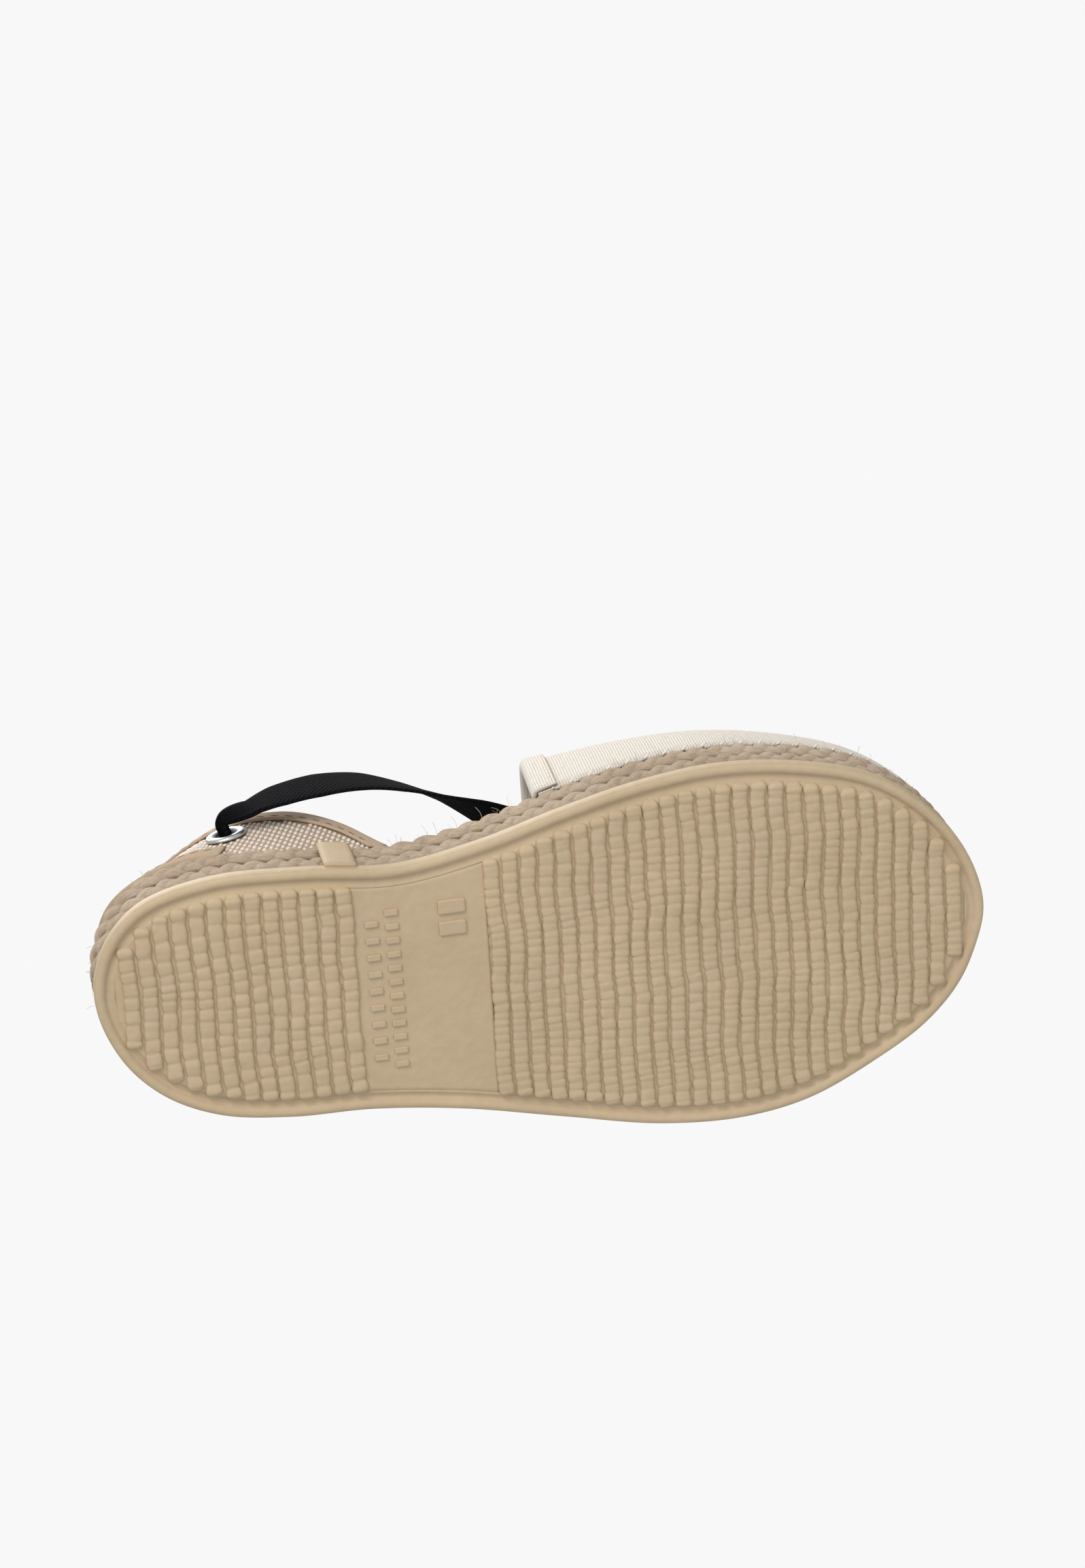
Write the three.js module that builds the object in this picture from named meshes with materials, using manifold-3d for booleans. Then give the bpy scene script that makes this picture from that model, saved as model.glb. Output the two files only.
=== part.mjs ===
// A child's left espadrille sandal: moulded rubber outsole, jute sole, canvas vamp,
// woven heel strap on two sewn gussets, and a flat tie tape through an eyelet on each side.
// Millimetres. +Z is up, the toe points to -Y, and the inner (big toe) side is -X.
import * as THREE from "three";
import { mergeVertices } from "three/addons/utils/BufferGeometryUtils.js";
import Module from "manifold-3d";

// ---- Driving dimensions ----
const SOLE_LENGTH = 178;
const FOREFOOT_WIDTH = 77.6;
const HEEL_WIDTH = 53.5;
const GAP = 0.3; // clearance between pieces that are glued, sewn or laid together

const RIB_HEIGHT = 1.6;
const RIB_PITCH = 3.57;
const GROOVE_WIDTH = 0.95;
const RIM_LIFT = 0.25; // the rim bead ends this far above the ground
const RIM_WIDTH = 2.1;
const CHANNEL_WIDTH = 1.5; // between the rim bead and the rib ends
const RUBBER_BASE = 1.4; // sheet above the ribs
const WAIST_RISE = 0.8; // how far the smooth waist lies above the ground
const HEEL_BLOCK_END = 51; // distance from the heel end
const FORE_BLOCK_START = 77.6;

const JUTE_AT_HEEL = 10.3;
const JUTE_AT_TOE = 9;
const BRAID_WIDTH = 4.8;
const INSOLE_THICKNESS = 1.1;
const INSOLE_INSET = 3.9;

const VAMP_START = 91; // where the throat meets the sole, from the heel end
const VAMP_HEIGHT = 44; // over the jute at the throat
const THROAT_SCOOP = 5; // how far the middle of the throat lies nearer the toe than its ends
const CANVAS = 1;
const LINING = 0.7;
const UPPER_INSET = 0.5; // the upper stands this far inside the sole's edge
const TOE_FLAT = 0.5; // and ends this much short of the toe's tip, where it is a few millimetres wide
const TOE_DROP = 0.66; // share of its height that the vamp loses towards the toe
const HEM_WIDTH = 4;
const THREAD_SIZE = 0.5;

const STRAP_BASE_BACK = 28; // the sewn base of the strap, from the heel end
const STRAP_BASE_FRONT = 60;
const STRAP_TOP_BINDING = 3.5;
const STRAP_LOW_BINDING = 5;
const BINDING_THICKNESS = 0.6;
const PIVOT_FROM_HEEL = 32;
const FOLD_FRONT_DEG = 27; // fabric below this line in front of the pivot stays with the sole
const FOLD_BACK_DEG = 12;
const GUSSET_FOOT = 3.2; // least height of the sewn fabric, at the pivot
const FOLD_GAP = 0.5;

const EYELET_BORE = 2.3;
const EYELET_WALL = 0.5;
const EYELET_FLANGE = 4.1;
const EYELET_SHEET = 0.5;

const TAPE_WIDTH = 13;
const TAPE_THICKNESS = 0.9;
const TAPE_BUNCHED = 3.2; // its width where it is drawn through the eyelet
const TAPE_LEAN_IN_EYELET = 30;

// ---- Levels that follow from them ----
const RUBBER_TOP = RIB_HEIGHT + RUBBER_BASE;
const JUTE_BOTTOM = RUBBER_TOP + GAP;
const UPPER_SHEET = CANVAS + GAP + LINING;

const wasm = await Module();
wasm.setup();

const fromHeel = (s, m, z) => new THREE.Vector3(-m, SOLE_LENGTH / 2 - s, z);
const heelDistance = (y) => SOLE_LENGTH / 2 - y;
const juteTop = (s) =>
  JUTE_BOTTOM + THREE.MathUtils.lerp(JUTE_AT_HEEL, JUTE_AT_TOE, THREE.MathUtils.clamp(s / SOLE_LENGTH, 0, 1));

// ---- Outline of the sole: share of the length, and share of the heel or forefoot width,
// positive towards the inner side, from the heel's end round the inner side to the toe and back
const HEEL_INNER = [[0, 0.112], [0.0146, 0.318], [0.056, 0.467], [0.135, 0.538], [0.242, 0.527], [0.337, 0.493]];
const FORE_INNER = [[0.433, 0.374], [0.522, 0.43], [0.612, 0.477], [0.702, 0.497], [0.792, 0.474], [0.872, 0.418],
  [0.93, 0.325], [0.97, 0.215], [0.993, 0.1], [1, 0.005]];
const FORE_OUTER = [[0.992, -0.085], [0.97, -0.2], [0.93, -0.303], [0.871, -0.39], [0.792, -0.474],
  [0.713, -0.503], [0.618, -0.487], [0.506, -0.425]];
const HEEL_OUTER = [[0.393, -0.523], [0.292, -0.471], [0.202, -0.456], [0.124, -0.407], [0.0646, -0.299],
  [0.0225, -0.131]];
const OUTLINE_STEPS = 96;

const scaled = (rows, width) => rows.map(([t, w]) => fromHeel(t * SOLE_LENGTH, w * width, 0));
const outlineCurve = new THREE.CatmullRomCurve3(
  [...scaled(HEEL_INNER, HEEL_WIDTH), ...scaled(FORE_INNER, FOREFOOT_WIDTH),
    ...scaled(FORE_OUTER, FOREFOOT_WIDTH), ...scaled(HEEL_OUTER, HEEL_WIDTH)],
  true,
);

// Points of the outline moved inwards, with the outward direction at each.
function outline(inset, steps = OUTLINE_STEPS) {
  const points = [];
  for (let i = 0; i < steps; i++) {
    const p = outlineCurve.getPointAt(i / steps);
    const t = outlineCurve.getTangentAt(i / steps);
    const out = new THREE.Vector3(-t.y, t.x, 0).normalize().negate();
    points.push({ p: p.addScaledVector(out, -inset), out });
  }
  return points;
}

// ---- Helpers ----
function meshGeometry(positions, indices) {
  const g = new THREE.BufferGeometry();
  g.setAttribute("position", new THREE.Float32BufferAttribute(positions, 3));
  g.setIndex(indices);
  return g;
}

function toSolid(geometry) {
  const bare = geometry.clone();
  bare.deleteAttribute("normal");
  bare.deleteAttribute("uv");
  const merged = mergeVertices(bare, 1e-4);
  return new wasm.Manifold(new wasm.Mesh({
    numProp: 3,
    vertProperties: merged.attributes.position.array,
    triVerts: new Uint32Array(merged.index.array),
  }));
}

function toGeometry(solid) {
  const m = solid.getMesh();
  return meshGeometry(Array.from(m.vertProperties), Array.from(m.triVerts));
}

// A closed solid through rings of equal count, each a closed section; closed sweeps join end to end.
function loft(rings, section, closed = false) {
  const n = rings[0].length;
  const positions = rings.flat().flatMap((v) => [v.x, v.y, v.z]);
  const indices = [];
  const last = closed ? rings.length : rings.length - 1;
  for (let i = 0; i < last; i++) {
    const a = i * n;
    const b = ((i + 1) % rings.length) * n;
    for (let k = 0; k < n; k++) {
      const k2 = (k + 1) % n;
      indices.push(a + k, b + k, b + k2, a + k, b + k2, a + k2);
    }
  }
  if (!closed) {
    const clockwise = THREE.ShapeUtils.isClockWise(section);
    const end = (rings.length - 1) * n;
    for (const [p, q, r] of THREE.ShapeUtils.triangulateShape(section, [])) {
      indices.push(...(clockwise ? [p, r, q] : [p, q, r]));
      indices.push(...(clockwise ? [end + p, end + q, end + r] : [end + p, end + r, end + q]));
    }
  }
  const g = meshGeometry(positions, indices);
  return volumeOf(g) < 0 ? flipped(g) : g;
}

function volumeOf(g) {
  const p = g.attributes.position;
  const v = [0, 1, 2].map(() => new THREE.Vector3());
  let sum = 0;
  for (let i = 0; i < g.index.count; i += 3) {
    v.forEach((w, k) => w.fromBufferAttribute(p, g.index.getX(i + k)));
    sum += v[0].dot(v[1].cross(v[2]));
  }
  return sum / 6;
}

function flipped(g) {
  const index = Array.from(g.index.array);
  for (let i = 0; i < index.length; i += 3) [index[i + 1], index[i + 2]] = [index[i + 2], index[i + 1]];
  g.setIndex(index);
  return g;
}

// A closed sheet: the surface at(u, v, d) between the depths d0 and d1, open nowhere.
function sheet(at, us, vs, d0, d1) {
  const section = [];
  for (let j = 0; j < vs.length; j++) section.push([vs[j], d0]);
  for (let j = vs.length - 1; j >= 0; j--) section.push([vs[j], d1]);
  const rings = us.map((u) => section.map(([v, d]) => at(u, v, d)));
  return loft(rings, section.map(([v, d]) => new THREE.Vector2(v, d)));
}

const steps = (a, b, n) => Array.from({ length: n + 1 }, (_, i) => a + ((b - a) * i) / n);

// The outline as a plate from z0 up to z1, which may be a function of the distance from the heel.
function plate(inset, z0, z1) {
  const shape = new THREE.Shape(outline(inset).map(({ p }) => new THREE.Vector2(p.x, p.y)));
  const g = new THREE.ExtrudeGeometry(shape, { depth: 1, bevelEnabled: false });
  const p = g.attributes.position;
  for (let i = 0; i < p.count; i++) {
    const s = heelDistance(p.getY(i));
    const top = typeof z1 === "function" ? z1(s) : z1;
    const bottom = typeof z0 === "function" ? z0(s) : z0;
    p.setZ(i, p.getZ(i) > 0.5 ? top : bottom);
  }
  return g;
}

// A ring round the sole with an eight-cornered section: insets from the edge, and shares of the height.
function sideRing(outer, inner, z0, z1) {
  const chamfer = 0.9;
  const rings = outline(0).map(({ p, out }) => {
    const s = heelDistance(p.y);
    const low = z0(s);
    const high = z1(s);
    const corners = [
      [outer, low + chamfer], [outer, high - chamfer], [outer + chamfer, high], [inner - chamfer, high],
      [inner, high - chamfer], [inner, low + chamfer], [inner - chamfer, low], [outer + chamfer, low],
    ];
    return corners.map(([inset, z]) => p.clone().addScaledVector(out, -inset).setZ(z));
  });
  return loft(rings, null, true);
}

function box(x0, x1, y0, y1, z0, z1) {
  const g = new THREE.BoxGeometry(x1 - x0, y1 - y0, z1 - z0);
  g.translate((x0 + x1) / 2, (y0 + y1) / 2, (z0 + z1) / 2);
  return g;
}

function joined(solids) {
  return solids.reduce((a, b) => a.add(b));
}

// ---- Rubber outsole ----
function ribStarts(from, to) {
  const count = Math.floor((to - from) / RIB_PITCH + 1e-6);
  return Array.from({ length: count }, (_, i) => from + i * RIB_PITCH);
}

function outsole() {
  const inside = RIM_WIDTH + CHANNEL_WIDTH;
  const half = FOREFOOT_WIDTH;
  const ribWidth = RIB_PITCH - GROOVE_WIDTH;
  const heelRibs = ribStarts(0, HEEL_BLOCK_END).map((s) => HEEL_BLOCK_END - s - RIB_PITCH + GROOVE_WIDTH);
  const foreRibs = ribStarts(FORE_BLOCK_START, SOLE_LENGTH);
  const ribs = joined([...heelRibs, ...foreRibs].map((s) =>
    toSolid(box(-half, half, SOLE_LENGTH / 2 - s - ribWidth, SOLE_LENGTH / 2 - s, 0, RUBBER_TOP - 0.2))));
  const waist = toSolid(box(-half, half, SOLE_LENGTH / 2 - FORE_BLOCK_START + GROOVE_WIDTH,
    SOLE_LENGTH / 2 - HEEL_BLOCK_END, WAIST_RISE, RUBBER_TOP - 0.2));
  const tread = ribs.add(waist).intersect(toSolid(plate(inside, -1, RUBBER_TOP)));
  const tray = toSolid(plate(0, RIM_LIFT, RUBBER_TOP)).subtract(toSolid(plate(RIM_WIDTH, -1, RIB_HEIGHT)));
  return toGeometry(tray.add(tread));
}

// A rubber tongue moulded up over the jute on the inner side of the waist.
const TAB_FROM = 46.6;
const TAB_LENGTH = 6.4;
const TAB_THICKNESS = 0.8;
// The point of the inner (side 1) or outer (side -1) edge, moved inwards, at a distance from the heel.
function edgePoint(s, side, inset) {
  const points = edgeTable(side, inset);
  let i = 1;
  while (i < points.length - 1 && points[i].s < s) i++;
  const a = points[i - 1];
  const b = points[i];
  const t = THREE.MathUtils.clamp((s - a.s) / (b.s - a.s), 0, 1);
  return a.p.clone().lerp(b.p, t);
}
const tables = {};
function edgeTable(side, inset) {
  const key = `${side} ${inset}`;
  if (tables[key]) return tables[key];
  const points = outline(inset, 400).map(({ p }) => ({ p, s: heelDistance(p.y) }));
  const heel = points.reduce((a, b) => (b.s < a.s ? b : a));
  const toe = points.reduce((a, b) => (b.s > a.s ? b : a));
  const i = points.indexOf(heel);
  const j = points.indexOf(toe);
  const run = [];
  for (let k = i; k !== j; k = (k + (side > 0 ? 1 : points.length - 1)) % points.length) run.push(points[k]);
  run.push(toe);
  tables[key] = run;
  return run;
}

function sideTab() {
  const at = (s, z, d) => edgePoint(s, 1, -d).setZ(z);
  const top = (s) => juteTop(s) - 0.2;
  const ss = steps(TAB_FROM, TAB_FROM + TAB_LENGTH, 3);
  return sheet((s, v, d) => at(s, THREE.MathUtils.lerp(RUBBER_TOP + GAP, top(s), v), d), ss, steps(0, 1, 2),
    GAP, GAP + TAB_THICKNESS);
}

// ---- Jute sole ----
const braidMiddle = (s) => (JUTE_BOTTOM + juteTop(s)) / 2;
const lowerBraid = () => sideRing(0, BRAID_WIDTH, () => JUTE_BOTTOM, (s) => braidMiddle(s) - GAP / 2);
const upperBraid = () => sideRing(0, BRAID_WIDTH, (s) => braidMiddle(s) + GAP / 2, juteTop);
const juteCore = () => plate(BRAID_WIDTH + GAP, JUTE_BOTTOM, juteTop);
const insoleTop = (s) => juteTop(s) + GAP + INSOLE_THICKNESS;
const insole = () => plate(INSOLE_INSET, (s) => juteTop(s) + GAP, insoleTop);

// ---- Vamp ----
// A point of the upper: a goes from 0 on the inner side over the top to 1 on the outer side,
// s is the distance from the heel, and d is the depth below the canvas's outer face.
const vampEnd = (d) => SOLE_LENGTH - UPPER_INSET - TOE_FLAT - d;
function vampPoint(a, s, d) {
  const end = vampEnd(d);
  const along = Math.min(s, end);
  const inner = edgePoint(along, 1, UPPER_INSET + d);
  const outer = edgePoint(along, -1, UPPER_INSET + d);
  const t = THREE.MathUtils.clamp((along - VAMP_START) / (end - VAMP_START), 0, 1);
  const height = Math.max(0, (VAMP_HEIGHT - d) * (1 - TOE_DROP * t) * Math.sqrt(Math.max(0, 1 - t ** 4)));
  const angle = Math.PI * a;
  const across = Math.sign(Math.cos(angle)) * Math.abs(Math.cos(angle)) ** 0.8;
  const up = Math.sin(angle) ** 0.9;
  const x = THREE.MathUtils.lerp(outer.x, inner.x, (across + 1) / 2);
  const scoop = THROAT_SCOOP * (1 - t) ** 2 * Math.sin(angle) ** 1.5;
  return fromHeel(along + scoop, -x, juteTop(along) + GAP + height * up);
}
const ACROSS = steps(0, 1, 18);
const vampRows = (d) => steps(0, 1, 9).map((b) =>
  VAMP_START + (vampEnd(d) - VAMP_START) * Math.sin((Math.PI / 2) * b));
function vampShell(d0, d1) {
  const rows0 = vampRows(d0);
  const rows1 = vampRows(d1);
  const rings = ACROSS.map((a) => [
    ...rows0.map((s) => vampPoint(a, s, d0)),
    ...rows1.map((s) => vampPoint(a, s, d1)).reverse(),
  ]);
  return loft(rings, rings[0].map((v) => new THREE.Vector2(v.x, v.y)));
}
function throatHem() {
  const outside = -GAP - BINDING_THICKNESS;
  const inside = UPPER_SHEET + GAP + BINDING_THICKNESS;
  const section = [[HEM_WIDTH, outside], [-GAP - BINDING_THICKNESS, outside], [-GAP - BINDING_THICKNESS, inside],
    [HEM_WIDTH, inside], [HEM_WIDTH, UPPER_SHEET + GAP], [-GAP, UPPER_SHEET + GAP], [-GAP, -GAP],
    [HEM_WIDTH, -GAP]].map(([e, d]) => new THREE.Vector2(e, d));
  const rings = ACROSS.map((a) => section.map((q) => {
    const p = vampPoint(a, VAMP_START + Math.max(q.x, 0), q.y);
    return q.x < 0 ? p.add(new THREE.Vector3(0, -q.x, 0)) : p;
  }));
  return loft(rings, section);
}
// The thread that sews the vamp to the jute, as one line round the vamp's foot.
function seamThread() {
  const start = VAMP_START + HEM_WIDTH + 2;
  const around = outline(UPPER_INSET - 2 * GAP - THREAD_SIZE).filter(({ p }) => heelDistance(p.y) > start);
  const section = steps(0, 1, 5).slice(0, 5).map((t) =>
    new THREE.Vector2(Math.cos(2 * Math.PI * t), Math.sin(2 * Math.PI * t)).multiplyScalar(THREAD_SIZE));
  const rings = around.map(({ p, out }) => section.map((q) =>
    p.clone().addScaledVector(out, q.x).setZ(juteTop(heelDistance(p.y)) + GAP + THREAD_SIZE + q.y)));
  return loft(rings, section);
}

// ---- Heel strap ----
// Stations from the middle of the back (0) to the front of the sewn base (1). Each gives the lower edge and
// the upper edge: distance from the heel end, inset from the heel's half width, height over the jute.
const STRAP_STATIONS = [
  { c: 0, low: [4, 27, 12.5], top: [17, 27, 33.5] },
  { c: 0.15, low: [6.3, 17.5, 11.7], top: [18.3, 20.5, 31] },
  { c: 0.3, low: [12.5, 10.3, 8.1], top: [22.5, 14, 26] },
  { c: 0.45, low: [21, 5, 3], top: [29.5, 8.2, 23] },
  { c: 0.57, low: [STRAP_BASE_BACK, 3.4, 0], top: [36.5, 5.2, 21.6] },
  { c: 0.7, low: [38, 3.2, 0], top: [44.5, 3.7, 18.9] },
  { c: 0.85, low: [49, 3.2, 0], top: [53, 3.2, 12.2] },
  { c: 1, low: [STRAP_BASE_FRONT, 3.6, 0], top: [STRAP_BASE_FRONT + 0.6, 3.6, 0.8] },
];
const HEEL_MIDDLE = 2.4; // the heel's centreline lies this far to the inner side
const halfHeel = (s, side) => {
  const reach = Math.max(s, PIVOT_FROM_HEEL - 4);
  return Math.abs(-edgePoint(reach, side, 0).x - HEEL_MIDDLE);
};
function smoothStations(c, edge, k) {
  const rows = STRAP_STATIONS;
  let i = 0;
  while (i < rows.length - 2 && rows[i + 1].c < c) i++;
  const get = (j) => {
    if (j < 0) return [-rows[-j].c, k === 1 ? 2 * rows[0][edge][1] - rows[-j][edge][1] : rows[-j][edge][k]];
    const row = rows[Math.min(j, rows.length - 1)];
    return [row.c, row[edge][k]];
  };
  const [p0, p1, p2, p3] = [get(i - 1), get(i), get(i + 1), get(i + 2)];
  const span = p2[0] - p1[0];
  const t = (c - p1[0]) / span;
  const slope = (a, b) => (b[0] === a[0] ? 0 : ((b[1] - a[1]) / (b[0] - a[0])) * span);
  const m1 = slope(p0, p2);
  const m2 = slope(p1, p3);
  const t2 = t * t;
  const t3 = t2 * t;
  return (2 * t3 - 3 * t2 + 1) * p1[1] + (t3 - 2 * t2 + t) * m1 + (3 * t2 - 2 * t3) * p2[1] + (t3 - t2) * m2;
}
// The middle surface of the strap: c from -1 (outer side) to 1 (inner side), v from the lower edge to the upper.
function strapMiddle(c, v) {
  const side = c < 0 ? -1 : 1;
  const k = Math.min(Math.abs(c), 1);
  const edgeAt = (edge) => {
    const [s, inset, z] = [0, 1, 2].map((i) => smoothStations(k, edge, i));
    const half = Math.max(0, halfHeel(s, side) - inset * (halfHeel(PIVOT_FROM_HEEL, side) / 27));
    return fromHeel(s, HEEL_MIDDLE + side * half, insoleTop(s) + GAP + z);
  };
  return edgeAt("low").lerp(edgeAt("top"), v);
}
function strapPoint(c, v, d) {
  const e = 0.01;
  const p = strapMiddle(c, v);
  const dc = strapMiddle(c + e, v).sub(strapMiddle(c - e, v));
  const dv = strapMiddle(c, Math.min(1, v + e)).sub(strapMiddle(c, Math.max(0, v - e)));
  return p.addScaledVector(dc.cross(dv).normalize(), d);
}
const bandHeight = (c) => strapMiddle(c, 0).distanceTo(strapMiddle(c, 1));
const STRAP_STEPS = steps(-1, 1, 56);
const OUTER_FACE = GAP / 2 + CANVAS;
const INNER_FACE = -GAP / 2 - LINING;

function strapSheet(d0, d1) {
  return toSolid(sheet(strapPoint, STRAP_STEPS, steps(0, 1, 5), d0, d1));
}
// A folded binding over one edge: U section, its open side towards the band.
function strapBinding(edge, width, cs) {
  const [out0, out1] = [OUTER_FACE + GAP, OUTER_FACE + GAP + BINDING_THICKNESS];
  const [in0, in1] = [INNER_FACE - GAP, INNER_FACE - GAP - BINDING_THICKNESS];
  const section = [[width, out1], [-GAP - BINDING_THICKNESS, out1], [-GAP - BINDING_THICKNESS, in1], [width, in1],
    [width, in0], [-GAP, in0], [-GAP, out0], [width, out0]].map(([e, d]) => new THREE.Vector2(e, d));
  const rings = cs.map((c) => section.map((q) => {
    const v = edge === "top" ? 1 - Math.max(q.x, 0) / bandHeight(c) : Math.max(q.x, 0) / bandHeight(c);
    const p = strapPoint(c, v, q.y);
    const up = strapMiddle(c, 1).sub(strapMiddle(c, 0)).normalize();
    return q.x < 0 ? p.addScaledVector(up, edge === "top" ? -q.x : q.x) : p;
  }));
  return toSolid(loft(rings, section));
}

// Side view of the fabric that stays with the sole, as a prism across the shoe, grown by a margin.
function foldPrism(margin) {
  const far = 60;
  const rad = THREE.MathUtils.degToRad;
  const pivotZ = juteTop(PIVOT_FROM_HEEL) + GUSSET_FOOT;
  const y = SOLE_LENGTH / 2 - PIVOT_FROM_HEEL;
  const corner = (deg, side) => new THREE.Vector2(y + side * far * Math.cos(rad(deg)),
    pivotZ + margin + far * Math.sin(rad(deg)));
  const points = [corner(FOLD_FRONT_DEG, -1), new THREE.Vector2(y - far, -far), new THREE.Vector2(y + far, -far),
    corner(FOLD_BACK_DEG, 1), new THREE.Vector2(y, pivotZ + margin)];
  const g = new THREE.ExtrudeGeometry(new THREE.Shape(points), { depth: 2 * far, bevelEnabled: false });
  g.translate(0, 0, -far);
  // The shape's x is the shoe's y, its y is z, and its depth is x.
  g.applyMatrix4(new THREE.Matrix4().set(0, 0, 1, 0, 1, 0, 0, 0, 0, 1, 0, 0, 0, 0, 0, 1));
  return toSolid(g);
}
const lower = foldPrism(0);
const upper = foldPrism(FOLD_GAP);

// ---- Eyelets ----
const EYELET_C = 0.54;
const EYELET_V = 0.55;
function eyeletFrame(side) {
  const c = side * EYELET_C;
  const middle = strapPoint(c, EYELET_V, 0);
  const out = strapPoint(c, EYELET_V, 1).sub(middle).normalize();
  return new THREE.Matrix4().makeTranslation(middle.x, middle.y, middle.z).multiply(
    new THREE.Matrix4().makeRotationFromQuaternion(
      new THREE.Quaternion().setFromUnitVectors(new THREE.Vector3(0, 1, 0), out)));
}
const CURVE_CLEARANCE = 0.55; // a flat flange on a curved strap
function lathe(profile) {
  return new THREE.LatheGeometry(profile.map(([r, y]) => new THREE.Vector2(r, y)), 24);
}
function eyelet(side) {
  const r = EYELET_BORE;
  const rim = OUTER_FACE + CURVE_CLEARANCE;
  const back = INNER_FACE - CURVE_CLEARANCE - 2 * EYELET_SHEET - 2 * GAP;
  const g = lathe([[r, back], [r + EYELET_WALL, back], [r + EYELET_WALL, rim], [EYELET_FLANGE, rim],
    [EYELET_FLANGE - 0.4, rim + EYELET_SHEET], [r, rim + EYELET_SHEET], [r, back]]);
  return volumeOf(indexed(g)) < 0 ? flipped(indexed(g)).applyMatrix4(eyeletFrame(side))
    : indexed(g).applyMatrix4(eyeletFrame(side));
}
function eyeletWasher(side) {
  const r = EYELET_BORE + EYELET_WALL + GAP;
  const face = INNER_FACE - CURVE_CLEARANCE;
  const g = indexed(lathe([[r, face - EYELET_SHEET], [EYELET_FLANGE, face - EYELET_SHEET], [EYELET_FLANGE, face],
    [r, face], [r, face - EYELET_SHEET]]));
  return (volumeOf(g) < 0 ? flipped(g) : g).applyMatrix4(eyeletFrame(side));
}
function indexed(g) {
  const bare = g.clone();
  bare.deleteAttribute("normal");
  bare.deleteAttribute("uv");
  return mergeVertices(bare, 1e-4);
}
function eyeletHole(side) {
  const g = new THREE.CylinderGeometry(1, 1, 12, 24);
  g.scale(EYELET_BORE + EYELET_WALL + GAP, 1, EYELET_BORE + EYELET_WALL + GAP);
  g.applyMatrix4(eyeletFrame(side));
  return toSolid(g);
}
const holes = eyeletHole(1).add(eyeletHole(-1));

// The lower binding stops at the sewn base, and the upper one where the fixed fabric begins.
const bandOuter = () => strapSheet(GAP / 2, OUTER_FACE).subtract(upper).subtract(holes);
const bandLining = () => strapSheet(-GAP / 2, INNER_FACE).subtract(upper).subtract(holes);
const topBinding = () => strapBinding("top", STRAP_TOP_BINDING, STRAP_STEPS).subtract(upper);
const lowBinding = () => strapBinding("low", STRAP_LOW_BINDING, steps(-0.57, 0.57, 32)).subtract(upper);
function sideHalf(side) {
  const far = 100;
  return toSolid(side > 0 ? box(-far, -HEEL_MIDDLE, -far, far, 0, far) : box(-HEEL_MIDDLE, far, -far, far, 0, far));
}
const gusset = (side) => strapSheet(-GAP / 2 - LINING, OUTER_FACE).intersect(lower).intersect(sideHalf(side));

// ---- Tie tapes ----
// Route of a tape: distance from the heel, distance out from the heel's centreline, height over the jute,
// width, and the lean of the tape's width from upright, in degrees.
const TAPE_OUTSIDE = [
  [36.5, 27.6, 16.4, 8, -2],
  [42, 28.6, 18, 11.5, -3],
  [50, 29.4, 18.8, TAPE_WIDTH, -4],
  [59, 29.2, 18.4, TAPE_WIDTH, -9],
  [67, 27.2, 17.6, TAPE_WIDTH - 1, -15],
  [74, 24.6, 16.2, TAPE_WIDTH - 2, -23],
  [80.5, 21.8, 14.2, TAPE_WIDTH, -36],
  [87, 18.8, 11, TAPE_WIDTH, -52],
  [94.5, 16.6, 7.2, TAPE_WIDTH, -75],
  [104, 15.4, 3.8, TAPE_WIDTH, -90],
  [116, 15, 2.6, TAPE_WIDTH, -90],
  [130, 14, 2.6, TAPE_WIDTH, -90],
  [142, 12.6, 2.6, TAPE_WIDTH, -90],
];
function tape(side) {
  const frame = eyeletFrame(side);
  const through = [-4.5, -1.5, 1.5, 4.5].map((y) => new THREE.Vector3(0, y, 0).applyMatrix4(frame));
  const outside = TAPE_OUTSIDE.map(([s, out, z]) =>
    fromHeel(s, HEEL_MIDDLE + side * out, juteTop(s) + GAP + z));
  const points = [...through, ...outside];
  const widths = [...through.map(() => TAPE_BUNCHED), ...TAPE_OUTSIDE.map((r) => r[3])];
  const leans = [...through.map(() => TAPE_LEAN_IN_EYELET), ...TAPE_OUTSIDE.map((r) => r[4])];
  const curve = new THREE.CatmullRomCurve3(points, false, "centripetal");
  const n = 64;
  const section = [[-0.5, -0.5], [0.5, -0.5], [0.5, 0.5], [-0.5, 0.5]].map(([a, b]) => new THREE.Vector2(a, b));
  const rings = steps(0, 1, n).map((t) => {
    const at = t * (points.length - 1);
    const i = Math.min(Math.floor(at), points.length - 2);
    const width = THREE.MathUtils.lerp(widths[i], widths[i + 1], at - i);
    const lean = THREE.MathUtils.degToRad(THREE.MathUtils.lerp(leans[i], leans[i + 1], at - i)) * side;
    const p = curve.getPoint(t);
    const tangent = curve.getTangent(t);
    const upright = new THREE.Vector3(0, 0, 1).addScaledVector(tangent, -tangent.z).normalize();
    const wide = upright.applyAxisAngle(tangent, lean);
    const thick = new THREE.Vector3().crossVectors(tangent, wide);
    return section.map((q) => p.clone().addScaledVector(wide, q.x * width)
      .addScaledVector(thick, q.y * TAPE_THICKNESS));
  });
  return loft(rings, section);
}

// ---- Assembly ----
const RUBBER = { color: 0xc3b088, roughness: 0.75 };
const JUTE = { color: 0xbfa88f, roughness: 1 };
const CREAM = { color: 0xe4dccf, roughness: 0.95 };
const TAN = { color: 0xc9ad85, roughness: 0.9 };
const WOVEN = { color: 0xd8cbb8, roughness: 0.95 };
const BLACK = { color: 0x1b1b1f, roughness: 0.9 };
const STEEL = { color: 0xc9cbcd, roughness: 0.3, metalness: 1 };
const THREAD = { color: 0xe9e2d4, roughness: 0.9 };

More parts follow.
